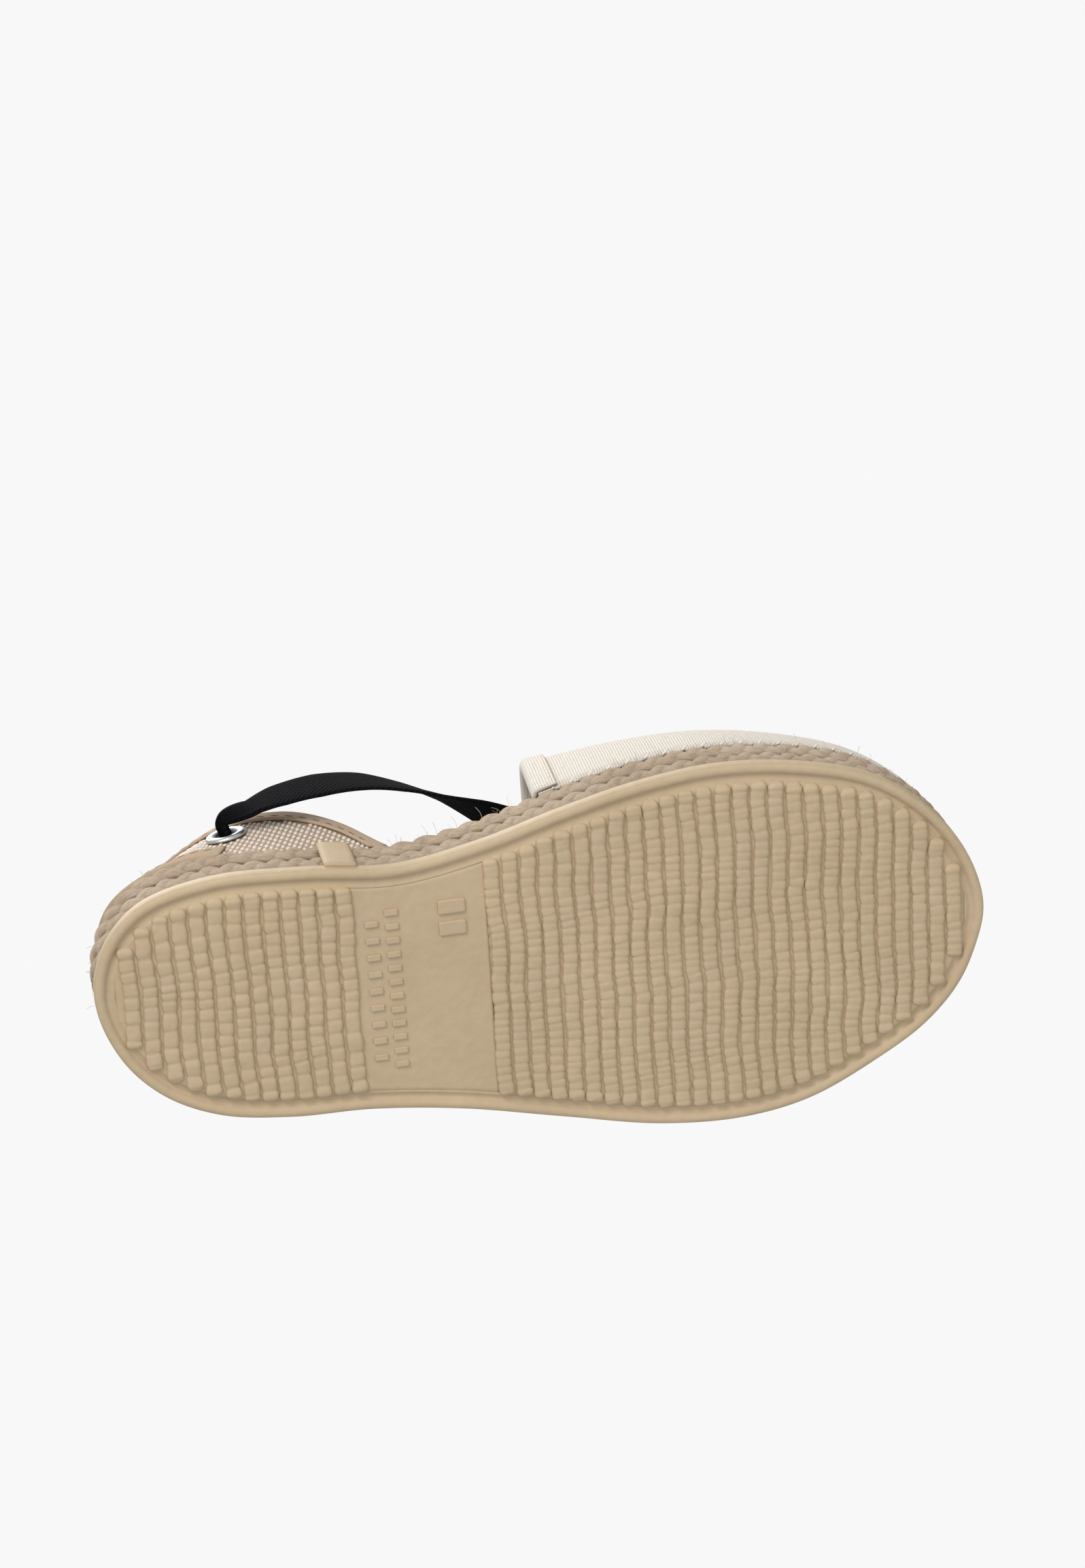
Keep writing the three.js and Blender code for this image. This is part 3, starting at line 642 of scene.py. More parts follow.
# %% tray
def tray():
    profile = [(3.6, RUBBER_TOP), (0.1, RUBBER_TOP), (0, 2.9), (0, 1.0), (0.12, 0.62), (0.45, 0.36), (1.0, 0.25),
               (1.5, 0.36), (1.9, 0.62), (2.1, 0.9), (2.3, 1.15), (2.7, 1.2), (3.2, 1.1), (3.6, 0.8),
               (4.2, FLOOR_LEVEL)]
    n = len(OUTLINE) // 2
    idx = np.arange(0, len(OUTLINE), 2)
    pts, f = [], []
    for inset, z in profile:
        ring = OUTLINE[idx] - OUTWARD[idx] * inset
        pts.append(np.column_stack([ring, np.full(n, z)]))
    k = len(profile)
    points = np.concatenate(pts)
    for r in range(k - 1):
        for i in range(n):
            j = (i + 1) % n
            f.append((r * n + i, r * n + j, (r + 1) * n + j, (r + 1) * n + i))
    f.append(tuple(range(n)))
    f.append(tuple((k - 1) * n + i for i in reversed(range(n))))
    return new_object("outsole_tray", points, f, RUBBER)


outsole = tray()


def waist():
    s0, s1 = HEEL_BLOCK_END - 0.4, FORE_BLOCK_START - 0.2
    nu, nv = 60, 60
    outer = np.zeros((nu, nv, 3))
    for i, s in enumerate(np.linspace(s0, s1, nu)):
        x0, x1 = span(s, RIM_WIDTH + CHANNEL_WIDTH - 0.4)
        x = np.linspace(x0, x1, nv)
        edge = np.minimum(x - x0, x1 - x)
        drop = np.clip(edge / 0.9, 0, 1)
        z = 1.75 - (1.75 - WAIST_LEVEL) * np.sqrt(drop * (2 - drop))
        outer[i] = np.column_stack([x, np.full(nv, SOLE_LENGTH / 2 - s), z])
    inner = outer.copy()
    inner[..., 2] = 2.0
    flat = outer[..., :2]
    return shell("outsole_waist", outer, inner, RUBBER, flat)


waist_panel = waist()


def rib_bed(name, s0, s1):
    """The raised bed that a block of ribs stands on."""
    outer = []
    for s in np.linspace(s0, s1, 60):
        x0, x1 = span(s, RIM_WIDTH + CHANNEL_WIDTH)
        x = np.linspace(x0, x1, 40)
        outer.append(np.column_stack([x, np.full(40, SOLE_LENGTH / 2 - s), np.full(40, BED_LEVEL)]))
    outer = np.array(outer)
    inner = outer.copy()
    inner[..., 2] = 1.6
    return shell(name, outer, inner, RUBBER, outer[..., :2])


beds = [rib_bed("outsole_heel_bed", 4.0, HEEL_BLOCK_END - 0.3),
        rib_bed("outsole_fore_bed", FORE_BLOCK_START + 0.3, SOLE_LENGTH - 4.0)]

# %% [markdown]
# The ribs look like soft rope pressed into the rubber: they wander, and pinch in every few millimetres. They
# could be modelled one by one, but a rule makes them all. Lines across the sole are resampled, moved a little
# by noise, given a radius that dips at each nodule and rounds off at the ends, and swept with a boxy profile.

# %% ribs
def rib_group():
    g, gin, gout = group("ribs", {"Profile": OBJECT, "Nodule": FLOAT, "Pinch": FLOAT, "Wander": FLOAT, "Seed": FLOAT,
                                  "Step": FLOAT, "End": FLOAT})
    curve = resampled(g, gin)
    par = node(g, "GeometryNodeSplineParameter")
    full = node(g, "GeometryNodeSplineLength").outputs[0]
    pos = node(g, "GeometryNodeInputPosition").outputs[0]
    sep = node(g, "ShaderNodeSeparateXYZ", None, i0=pos)
    seed, wander = gin.outputs["Seed"], gin.outputs["Wander"]
    stretched = vector_maths(g, "MULTIPLY", pos, (1.0, 0.35, 0.0))
    broad = noise(g, stretched, 75.0, 1.0, seed)
    local = noise(g, pos, 430.0, 1.0, seed)
    shift = maths(g, "MULTIPLY", maths(g, "SUBTRACT", broad, 0.5), wander)
    shift = maths(g, "ADD", shift, maths(g, "MULTIPLY", maths(g, "SUBTRACT", local, 0.5),
                                         maths(g, "MULTIPLY", wander, 0.3)))
    off = node(g, "ShaderNodeCombineXYZ", None, Y=shift)
    curve = node(g, "GeometryNodeSetPosition", None, Geometry=curve, Offset=off.outputs[0]).outputs[0]
    turns = maths(g, "DIVIDE", sep.outputs["X"], gin.outputs["Nodule"])
    turns = maths(g, "ADD", turns, maths(g, "MULTIPLY", noise(g, pos, 60.0, 1.0, seed), 5.0))
    wave = maths(g, "ABSOLUTE", maths(g, "SINE", maths(g, "MULTIPLY", turns, math.pi)))
    notch = maths(g, "POWER", maths(g, "SUBTRACT", 1.0, wave), 2.2)
    wobble = maths(g, "MULTIPLY", maths(g, "SUBTRACT", noise(g, pos, 420.0, 1.0, 3.3), 0.5), 0.22)
    near = maths(g, "MINIMUM", par.outputs["Length"], maths(g, "SUBTRACT", full, par.outputs["Length"]))
    u = maths(g, "DIVIDE", near, gin.outputs["End"])
    inside = maths(g, "MINIMUM", u, 1.0)
    round_end = maths(g, "SQRT", maths(g, "MAXIMUM", maths(g, "SUBTRACT", 1.0, maths(
        g, "POWER", maths(g, "SUBTRACT", 1.0, inside), 2.6)), 0.03))
    bulge = maths(g, "MULTIPLY", 0.09, maths(g, "SUBTRACT", 1.0, maths(g, "MINIMUM", maths(
        g, "ABSOLUTE", maths(g, "SUBTRACT", u, 1.2)), 1.0)))
    radius = maths(g, "SUBTRACT", maths(g, "ADD", 1.0, wobble), maths(g, "MULTIPLY", notch, gin.outputs["Pinch"]))
    radius = maths(g, "MULTIPLY", maths(g, "ADD", radius, bulge), round_end)
    mesh = swept(g, upright(g, curve, radius), profile_curve(g, gin), caps=True)
    return sent_out(g, gin, gout, mesh)


def profile_object(name, section):
    """A closed profile in its own plane, in metres."""
    me = bpy.data.meshes.new(name)
    n = len(section)
    me.from_pydata([(x * MM, y * MM, 0) for x, y in section], [(i, (i + 1) % n) for i in range(n)], [])
    return linked(name, me)


RIBS = rib_group()
RIB_CENTRE = 1.42
RIB_INSET = 3.5


def rib_lines(starts, inset):
    width = RIB_PITCH - GROOVE
    lines = []
    for s in starts:
        here = span(s + width / 2, inset)
        if here is None or here[1] - here[0] < 6:
            continue
        x0, x1 = here
        lines.append([(x, SOLE_LENGTH / 2 - s - width / 2, RIB_CENTRE) for x in np.linspace(x0, x1, 24)])
    return lines


heel_starts = [HEEL_BLOCK_END - i * RIB_PITCH - RIB_PITCH + GROOVE for i in range(14)]
fore_starts = [FORE_BLOCK_START + i * RIB_PITCH for i in range(28)]
rib_width = RIB_PITCH - GROOVE * 0.4
rib_profile = profile_object("rib profile", superellipse(16, rib_width / 2, RIB_CENTRE, 4.2))
heel_ribs = bake(line_object("heel rib lines", rib_lines(heel_starts, RIB_INSET)), RIBS, "outsole_heel_ribs", RUBBER,
                 Profile=rib_profile, Nodule=2.9 * MM, Pinch=0.14, Wander=1.8 * MM, Seed=1.0, Step=0.33 * MM,
                 End=1.3 * MM)
fore_ribs = bake(line_object("fore rib lines", rib_lines(fore_starts, RIB_INSET)), RIBS, "outsole_fore_ribs", RUBBER,
                 Profile=rib_profile, Nodule=1.95 * MM, Pinch=0.11, Wander=2.2 * MM, Seed=4.0, Step=0.33 * MM,
                 End=1.3 * MM)
bpy.data.objects.remove(rib_profile)

# %% [markdown]
# The waist carries raised marks from the mould. Here they are plain bars with no meaning, one soft cube laid on
# points that each carry a size.

# %% raised bars
def bar_group():
    g, gin, gout = group("bars", {})
    block = node(g, "GeometryNodeMeshCube", None, Size=(1.0, 1.0, 1.0)).outputs[0]
    block = node(g, "GeometryNodeSubdivisionSurface", None, Mesh=block, Level=3, Edge_Crease=0.72).outputs[0]
    return scattered(g, gin, gout, block, Scale=carried(g, "size"))


def raised_bars():
    spots, sizes = [], []
    for s, m0, m1, count in ((54.6, -14, 15, 9), (58.6, -16, 17, 12)):
        for m in np.linspace(m0, m1, count):
            spots.append(from_heel(s, m, WAIST_LEVEL))
            sizes.append((1.3 * MM, 2.7 * MM, 0.75 * MM))
    for m in (12.0, 16.6):
        spots.append(from_heel(70.5, m, WAIST_LEVEL))
        sizes.append((3.0 * MM, 5.4 * MM, 0.8 * MM))
    carrier = points_object("bar points", spots, {"size": np.array(sizes)})
    return bake(carrier, bar_group(), "outsole_plain_marks", RUBBER)


bars = raised_bars()


def side_tab():
    s = np.linspace(TAB_START, TAB_END, 10)
    v = np.linspace(0, 1, 14)
    outer = np.zeros((len(s), len(v), 3))
    for j, w in enumerate(v):
        z = RUBBER_TOP - 0.4 + w * (jute_top(s) - RUBBER_TOP)
        bulge = 0.3 + 0.4 * np.sqrt(np.clip(1 - (2 * (s - TAB_START) / (TAB_END - TAB_START) - 1) ** 6, 0, 1))
        p = edge_offset(s, 1, -bulge)
        outer[:, j] = np.column_stack([p, z])
    inner = outer.copy()
    for j in range(len(v)):
        inner[:, j, :2] = edge_offset(s, 1, np.full(len(s), 0.5))
    return shell("outsole_side_tab", outer, inner, RUBBER, outer[..., :2])


tab = side_tab()

# %% [markdown]
# ## Jute sole
# A jute sole is a plait wound on edge and sewn through. Only its side rows are seen, so each row is a real
# three-strand braid: every strand rises and falls along the edge and swings in and out twice as often, which
# is what makes one pass over the next. A ring behind the strands closes the gaps, and a plate fills the middle.

# %% jute
def braid_group():
    g, gin, gout = group("braid", {"Profile": OBJECT, "Pitch": FLOAT, "Rise": FLOAT, "Depth": FLOAT, "Step": FLOAT,
                                   "Seed": FLOAT})
    join = node(g, "GeometryNodeJoinGeometry")
    for strand in range(3):
        curve = resampled(g, gin)
        length = node(g, "GeometryNodeSplineParameter").outputs["Length"]
        pos = node(g, "GeometryNodeInputPosition").outputs[0]
        phase = maths(g, "MULTIPLY", maths(g, "DIVIDE", length, gin.outputs["Pitch"]), 2 * math.pi)
        phase = maths(g, "ADD", phase, 2 * math.pi * strand / 3)
        phase = maths(g, "ADD", phase, maths(g, "MULTIPLY", noise(g, pos, 70.0, 1.0, gin.outputs["Seed"]), 1.4))
        up = maths(g, "MULTIPLY", maths(g, "SINE", phase), gin.outputs["Rise"])
        out = maths(g, "MULTIPLY", maths(g, "SINE", maths(g, "MULTIPLY", phase, 2.0)), gin.outputs["Depth"])
        tangent = node(g, "GeometryNodeInputTangent").outputs[0]
        side = vector_maths(g, "CROSS_PRODUCT", tangent, (0.0, 0.0, 1.0))
        side = node(g, "ShaderNodeVectorMath", {"operation": "NORMALIZE"}, i0=side)
        move = node(g, "ShaderNodeVectorMath", {"operation": "SCALE"}, i0=side.outputs[0], Scale=out)
        lift = node(g, "ShaderNodeCombineXYZ", None, Z=up)
        total = vector_maths(g, "ADD", move.outputs[0], lift.outputs[0])
        curve = node(g, "GeometryNodeSetPosition", None, Geometry=stored(g, curve, "along", length), Offset=total)
        radius = maths(g, "ADD", 0.88, maths(g, "MULTIPLY", noise(g, pos, 220.0, seed=float(strand)), 0.26))
        factor = node(g, "GeometryNodeSplineParameter").outputs["Factor"]
        section = stored(g, profile_curve(g, gin), "around", factor)
        mesh = swept(g, upright(g, curve.outputs[0], radius), section)
        half_way = maths(g, "ABSOLUTE", maths(g, "SUBTRACT", carried(g, "around", "FLOAT"), 0.5))
        flat = node(g, "ShaderNodeCombineXYZ", None, X=maths(g, "MULTIPLY", carried(g, "along", "FLOAT"), 1000.0),
                    Y=maths(g, "MULTIPLY", half_way, 2.0), Z=float(strand) * 9)
        mesh = stored(g, mesh, "flat", flat.outputs[0], "FLOAT_VECTOR")
        g.links.new(mesh, join.inputs[0])
    return sent_out(g, gin, gout, join.outputs[0])


BRAID = braid_group()
BRAID_MIDDLE = 1.5
BACKING_END = 5.2
STRAND_PITCH = 13.2
strand_profile = profile_object("strand profile", superellipse(12, 1.0, 1.5, 2.3))
braids = []
for row, name in ((0, "jute_braid_lower"), (1, "jute_braid_upper")):
    ring = OUTLINE[::2] - OUTWARD[::2] * BRAID_MIDDLE
    s = SOLE_LENGTH / 2 - ring[:, 1]
    low = JUTE_BOTTOM + 0.1
    height = jute_top(s) - low
    z = low + height * (0.25 + 0.5 * row)
    carrier = line_object(name + " line", [np.column_stack([ring, z])], closed=True)
    length = PERIMETER * 0.98
    pitch = length / round(length / STRAND_PITCH)
    braids.append(bake(carrier, BRAID, name, JUTE, Profile=strand_profile, Pitch=pitch * MM, Rise=1.05 * MM,
                       Depth=0.42 * MM, Step=0.5 * MM, Seed=2.0 + row))
bpy.data.objects.remove(strand_profile)


def backing():
    rings = []
    idx = np.arange(0, len(OUTLINE), 3)
    for inset, low in ((BRAID_MIDDLE, True), (BRAID_MIDDLE, False), (BACKING_END, False), (BACKING_END, True)):
        p = OUTLINE[idx] - OUTWARD[idx] * inset
        z = np.full(len(idx), JUTE_BOTTOM + 0.1) if low else jute_top(SOLE_LENGTH / 2 - p[:, 1]) - 0.05
        rings.append(np.column_stack([p, z]))
    r = np.stack(rings, 1)
    n, k = r.shape[:2]
    at = np.linspace(0, PERIMETER, n)
    flat = np.zeros((n, k, 3))
    flat[..., 0] = at[:, None]
    flat[..., 1] = np.arange(k)[None] * 2
    return sweep("jute_backing", r, JUTE, flat.reshape(-1, 3), closed=True)


jute_back = backing()


def plate(name, inset, z0, z1, material, rounding=0.35):
    idx = np.arange(0, len(OUTLINE), 4)
    n = len(idx)
    pts = []
    levels = [(0, inset + rounding), (0.3, inset), (0.7, inset), (1, inset + rounding)]
    for w, i in levels:
        p = OUTLINE[idx] - OUTWARD[idx] * i
        s = SOLE_LENGTH / 2 - p[:, 1]
        pts.append(np.column_stack([p, z0(s) + w * (z1(s) - z0(s))]))
    f = []
    for r in range(3):
        for i in range(n):
            j = (i + 1) % n
            f.append((r * n + i, r * n + j, (r + 1) * n + j, (r + 1) * n + i))
    f.append(tuple(reversed(range(n))))
    f.append(tuple(3 * n + i for i in range(n)))
    points = np.concatenate(pts)
    return new_object(name, points, f, material, np.column_stack([points[:, :2], np.zeros(len(points))]))


core = plate("jute_core", BRAID_WIDTH + GAP, lambda s: np.full_like(s, JUTE_BOTTOM), jute_top, JUTE)
insole = plate("insole_sock", INSOLE_INSET, lambda s: jute_top(s) + GAP, insole_top, CREAM)

# %% [markdown]
# Jute sheds. A hair system could do this, but a few hundred bent hairs, each with three sides, are light and
# export as plain mesh. Most stand off the top edge and the rest off the side.

# %% loose fibres
def fibre_group():
    g, gin, gout = group("fibres", {})
    line = node(g, "GeometryNodeCurveQuadraticBezier", None, Resolution=6, Start=(0.0, 0.0, 0.0),
                Middle=(0.35, 0.15, 0.6), End=(1.0, -0.25, 0.75)).outputs[0]
    circle = node(g, "GeometryNodeCurvePrimitiveCircle", {"mode": "RADIUS"}, Resolution=3, Radius=0.018).outputs[0]
    hair = node(g, "GeometryNodeCurveToMesh", None, Curve=line, Profile_Curve=circle)
    hair.inputs["Fill Caps"].default_value = True
    return scattered(g, gin, gout, hair.outputs[0], Rotation=carried(g, "turn"), Scale=carried(g, "size", "FLOAT"))


def fibres():
    n = 460
    at = rng.integers(0, len(OUTLINE), n)
    inset = rng.uniform(0.5, 2.6, n)
    p = OUTLINE[at] - OUTWARD[at] * inset[:, None]
    s = SOLE_LENGTH / 2 - p[:, 1]
    on_top = rng.random(n) < 0.72
    z = np.where(on_top, jute_top(s) - 0.4, rng.uniform(JUTE_BOTTOM + 1, 12, n))
    p = np.where(on_top[:, None], p, OUTLINE[at] - OUTWARD[at] * 0.5)
    heading = np.arctan2(OUTWARD[at, 1], OUTWARD[at, 0]) + rng.normal(0, 0.9, n)
    turn = np.stack([rng.normal(0, 0.5, n), rng.normal(0, 0.4, n), heading], -1)
    size = rng.uniform(0.7, 2.3, n) * MM
    carrier = points_object("fibre points", np.column_stack([p, z]), {"turn": turn, "size": size})
    return bake(carrier, fibre_group(), "jute_loose_fibres", FUZZ)


fuzz = fibres()

# %% [markdown]
# ## Vamp
# The vamp is canvas over a thin lining, stretched from the jute over the foot, with a turned hem round the
# throat. A cloth simulation would sag, and the real one is held taut, so each layer is a surface worked out from
# the edge of the sole and a height that falls to the toe, with its weave on the unrolled cloth.

# %% vamp
def vamp_end(d):
    return SOLE_LENGTH - UPPER_INSET - TOE_FLAT - d


def vamp_point(a, s, d):
    end = vamp_end(d)
    along = min(s, end)
    inner = edge_x(along, 1, UPPER_INSET + d)
    outer = edge_x(along, -1, UPPER_INSET + d)
    t = min(max((along - VAMP_START) / (end - VAMP_START), 0), 1)
    height = max(0, (VAMP_HEIGHT - d) * (1 - TOE_DROP * t) * math.sqrt(max(0, 1 - t**4)))
    angle = math.pi * a
    c = math.cos(angle)
    across = math.copysign(abs(c) ** 0.8, c)
    up = max(0.0, math.sin(angle)) ** 0.9
    x = outer + (inner - outer) * (across + 1) / 2
    scoop = THROAT_SCOOP * (1 - t) ** 2 * max(0.0, math.sin(angle)) ** 1.5
    wrinkle = 0.22 * math.sin(9 * a + 5 * t) * math.sin(7.3 * t + 2 * a) * math.sin(angle)
    return np.array([x, SOLE_LENGTH / 2 - (along + scoop), float(jute_top(along)) + GAP + height * up + wrinkle])


VAMP_A = np.linspace(0, 1, 73)
VAMP_B = np.linspace(0, 1, 45)


def vamp_rows(d):
    return VAMP_START + (vamp_end(d) - VAMP_START) * np.sin(np.pi / 2 * VAMP_B)


def unrolled(grid):
    """The cloth's own coordinates of a grid of points: lengths along both ways."""
    du = np.concatenate([np.zeros((1,) + grid.shape[1:2]), np.cumsum(np.linalg.norm(np.diff(grid, axis=0), axis=2), 0)])
    dv = np.concatenate([np.zeros((grid.shape[0], 1)), np.cumsum(np.linalg.norm(np.diff(grid, axis=1), axis=2), 1)], 1)
    return np.stack([du - du[-1:] / 2, dv], -1)


def vamp_grid(d):
    return np.array([[vamp_point(a, s, d) for s in vamp_rows(d)] for a in VAMP_A])


canvas_out, canvas_in = vamp_grid(0), vamp_grid(CANVAS)
vamp_canvas = shell("vamp_canvas", canvas_out, canvas_in, CREAM, unrolled(canvas_out))
lining_out, lining_in = vamp_grid(CANVAS + GAP / 2), vamp_grid(UPPER_SHEET)
vamp_lining = shell("vamp_lining", lining_out, lining_in, LINEN, unrolled(lining_out))


def u_section(width, out0, in0, thickness, reach):
    """A folded binding's closed section: (distance in from the edge, depth), rounded over the edge."""
    outside, inside = out0 + thickness, in0 - thickness
    mid, half = (outside + inside) / 2, (outside - inside) / 2
    pts = [(width, out0 + 0.05), (width, outside - 0.12), (width - 0.15, outside)]
    pts += [(w, outside) for w in np.linspace(width - 0.5, 0.3, 5)]
    turn = np.linspace(np.pi / 2, -np.pi / 2, 9)[1:-1]
    pts += [(0.3 - (reach + 0.3) * math.cos(t), mid + half * math.sin(t)) for t in turn]
    pts += [(w, inside) for w in np.linspace(0.3, width - 0.5, 5)]
    pts += [(width - 0.15, inside), (width, inside + 0.12), (width, in0 - 0.05), (0.2, in0), (0.2, out0)]
    return pts


def hem():
    section = u_section(4.0, GAP / 2, -(UPPER_SHEET + GAP / 2), BINDING, GAP + BINDING)
    rings = []
    for a in np.linspace(0, 1, 121):
        ring = []
        for e, d in section:
            p = vamp_point(a, VAMP_START + max(e, 0), -d)
            if e < 0:
                p = p + np.array([0, -e, 0])
            ring.append(p)
        rings.append(ring)
    rings = np.array(rings)
    along = run_length(rings[:, 0])
    flat = np.zeros(rings.shape)
    flat[..., 0] = along[:, None]
    flat[..., 1] = np.cumsum([0] + [math.dist(section[i], section[i + 1]) for i in range(len(section) - 1)])[None]
    return sweep("throat_hem", rings, CREAM, flat.reshape(-1, 3))


throat_hem = hem()

# %% [markdown]
# Every stitch is the same short dash of thread. A dash is laid on points that carry its turn and its length,
# along the hem as a running stitch and round the foot of the vamp as slanting ones.

# %% stitches
def dash_group():
    g, gin, gout = group("dashes", {"Thickness": FLOAT, "Length": FLOAT, "Rise": FLOAT})
    ball = node(g, "GeometryNodeMeshUVSphere", None, Segments=8, Rings=6, Radius=0.5).outputs[0]
    size = node(g, "ShaderNodeCombineXYZ", None, X=gin.outputs["Length"], Y=gin.outputs["Thickness"],
                Z=gin.outputs["Rise"])
    scale = node(g, "ShaderNodeVectorMath", {"operation": "SCALE"}, i0=size.outputs[0],
                 Scale=carried(g, "stretch", "FLOAT"))
    return scattered(g, gin, gout, ball, Rotation=carried(g, "turn"), Scale=scale.outputs[0])


DASH = dash_group()


def frame_turn(along, normal):
    """The rotation, as XYZ angles, whose X runs along and whose Z is the normal."""
    x = Vector(along).normalized()
    z = Vector(normal)
    z = (z - x * z.dot(x)).normalized()
    y = z.cross(x)
    return tuple(Matrix((x, y, z)).transposed().to_euler("XYZ"))


def dashes(name, spots, material, length, thickness, rise):
    """spots: (point, along, normal, stretch), in millimetres."""
    carrier = points_object(name + " points", [s[0] for s in spots],
                            {"turn": np.array([frame_turn(s[1], s[2]) for s in spots]),
                             "stretch": np.array([s[3] for s in spots])})
    return bake(carrier, DASH, name, material, Thickness=thickness * MM, Length=length * MM, Rise=rise * MM)


def vamp_stitches():
    spots = []
    line = np.array([vamp_point(a, VAMP_START + 3.1, -GAP / 2 - BINDING - 0.02) for a in np.linspace(0.02, 0.98, 400)])
    line, total = even(line, 120, False)
    for i in range(1, len(line) - 1, 2):
        along = line[i + 1] - line[i - 1]
        side = np.array([0, 1, 0.0])
        normal = np.cross(along, side)
        normal *= np.sign(normal[2]) or 1
        spots.append((line[i], along, normal, 1))
    s0 = VAMP_START + 2
    keep = [i for i in range(0, len(OUTLINE), 8) if SOLE_LENGTH / 2 - OUTLINE[i, 1] > s0]
    for i in keep:
        p = OUTLINE[i] - OUTWARD[i] * (UPPER_INSET + 0.05)
        z = float(jute_top(SOLE_LENGTH / 2 - p[1])) + 0.75
        spots.append((np.array([p[0], p[1], z]), np.array([tangents[i][0] * 0.5, tangents[i][1] * 0.5, 0.7]),
                      np.array([OUTWARD[i][0], OUTWARD[i][1], 0.2]), 1))
    return dashes("vamp_stitches", spots, THREAD, 2.4, 0.55, 0.5)


vamp_sewing = vamp_stitches()

# %% [markdown]
# ## Heel strap
# The strap is one band of coarse cloth, sewn down beside the arch and standing clear of the heel behind. Its
# lower and upper edges run through a few stations on each side, and cloth is ruled between them. The band and its
# sewn gussets are one piece.

# %% strap surface
STATIONS = [
    (0, (4, 27, 12.5), (17, 27, 33.5)),
    (0.15, (6.3, 17.5, 11.7), (18.3, 20.5, 31)),
    (0.3, (12.5, 10.3, 8.1), (22.5, 14, 26)),
    (0.45, (21, 5, 3), (29.5, 8.2, 23)),
    (0.57, (28, 3.4, 0), (36.5, 5.2, 21.6)),
    (0.7, (38, 3.2, 0), (44.5, 3.7, 18.9)),
    (0.85, (49, 3.2, 0), (53, 3.2, 12.2)),
    (1, (60, 3.6, 0), (60.6, 3.6, 0.8)),
]


def station(c, edge, k):
    cs = [r[0] for r in STATIONS]
    vs = [r[edge][k] for r in STATIONS]
    i = 0
    while i < len(cs) - 2 and cs[i + 1] < c:
        i += 1

    def at(j):
        if j < 0:
            return -cs[-j], 2 * vs[0] - vs[-j] if k == 1 else vs[-j]
        j = min(j, len(cs) - 1)
        return cs[j], vs[j]

    p0, p1, p2, p3 = at(i - 1), at(i), at(i + 1), at(i + 2)
    h = p2[0] - p1[0]
    t = (c - p1[0]) / h

    def slope(a, b):
        return 0 if b[0] == a[0] else (b[1] - a[1]) / (b[0] - a[0]) * h

    m1, m2 = slope(p0, p2), slope(p1, p3)
    return ((2 * t**3 - 3 * t**2 + 1) * p1[1] + (t**3 - 2 * t**2 + t) * m1
            + (3 * t**2 - 2 * t**3) * p2[1] + (t**3 - t**2) * m2)


def half_heel(s, side):
    return abs(-edge_x(max(s, PIVOT - 4), side, 0) - HEEL_MIDDLE)


def strap_edge(c, edge):
    side = -1 if c < 0 else 1
    k = min(abs(c), 1)
    s, inset, z = (station(k, edge, i) for i in range(3))
    half = max(0, half_heel(s, side) - inset * half_heel(PIVOT, side) / 27)
    return from_heel(s, HEEL_MIDDLE + side * half, float(insole_top(s)) + GAP + z)


def strap_middle(c, v):
    return strap_edge(c, 1) * (1 - v) + strap_edge(c, 2) * v


def strap_normal(c, v):
    e = 0.01
    dc = strap_middle(c + e, v) - strap_middle(c - e, v)
    dv = strap_middle(c, min(1, v + e)) - strap_middle(c, max(0, v - e))
    n = np.cross(dc, dv)
    return n / np.linalg.norm(n)


def strap_point(c, v, d):
    return strap_middle(c, v) + strap_normal(c, v) * d


def band_height(c):
    return float(np.linalg.norm(strap_middle(c, 1) - strap_middle(c, 0)))


STRAP_C = np.linspace(-1, 1, 161)
STRAP_V = np.linspace(0, 1, 15)


def strap_grid(d):
    return np.array([[strap_point(c, v, d) for v in STRAP_V] for c in STRAP_C])


ground_out, ground_in = strap_grid(OUTER_FACE - 0.12), strap_grid(GAP / 2)
strap_flat = unrolled(ground_out)
strap_flat[..., 1] -= strap_flat[:, -1:, 1] / 2
strap_band = shell("strap_band", ground_out, ground_in, GROUND, strap_flat)
back_out, back_in = strap_grid(-GAP / 2 + 0.1), strap_grid(INNER_FACE)
strap_lining = shell("strap_lining", back_out, back_in, LINEN, strap_flat)

# %% [markdown]
# The weave's white threads float over the tan ground in columns, and every other column is half a step on. They
# are thick enough to catch light, so each is a small dash on the band and not only a pattern in its colour.

# %% floats
FLOAT_PITCH = 1.07
FLOAT_STEP = 2.0
HOLE_CLEAR = 3.6


def float_spots():
    spots = []
    cs = np.linspace(-0.985, 0.985, 500)
    at = run_length(np.array([strap_middle(c, 0.5) for c in cs]))
    for k in range(int(at[-1] / FLOAT_PITCH)):
        c = float(np.interp((k + 0.5) * FLOAT_PITCH, at, cs))
        h = band_height(c)
        bottom = LOW_BINDING * 0.95 if abs(c) < 0.57 else 0.6
        y = -h / 2 + bottom + (FLOAT_STEP / 2 if k % 2 else 0.0)
        while y < h / 2 - TOP_BINDING + 0.2:
            v = (y + h / 2) / h
            if 0.01 < v < 0.99:
                up = strap_middle(c, 1) - strap_middle(c, 0)
                hole = strap_middle(math.copysign(EYELET_C, c), EYELET_V)
                if np.linalg.norm(strap_middle(c, v) - hole) >= HOLE_CLEAR:
                    spots.append((strap_point(c, v, OUTER_FACE - 0.1), up, strap_normal(c, v), rng.uniform(0.88, 1.08)))
            y += FLOAT_STEP
    return spots


strap_floats = dashes("strap_floats", float_spots(), FLOATS, 1.55, 0.86, 0.5)


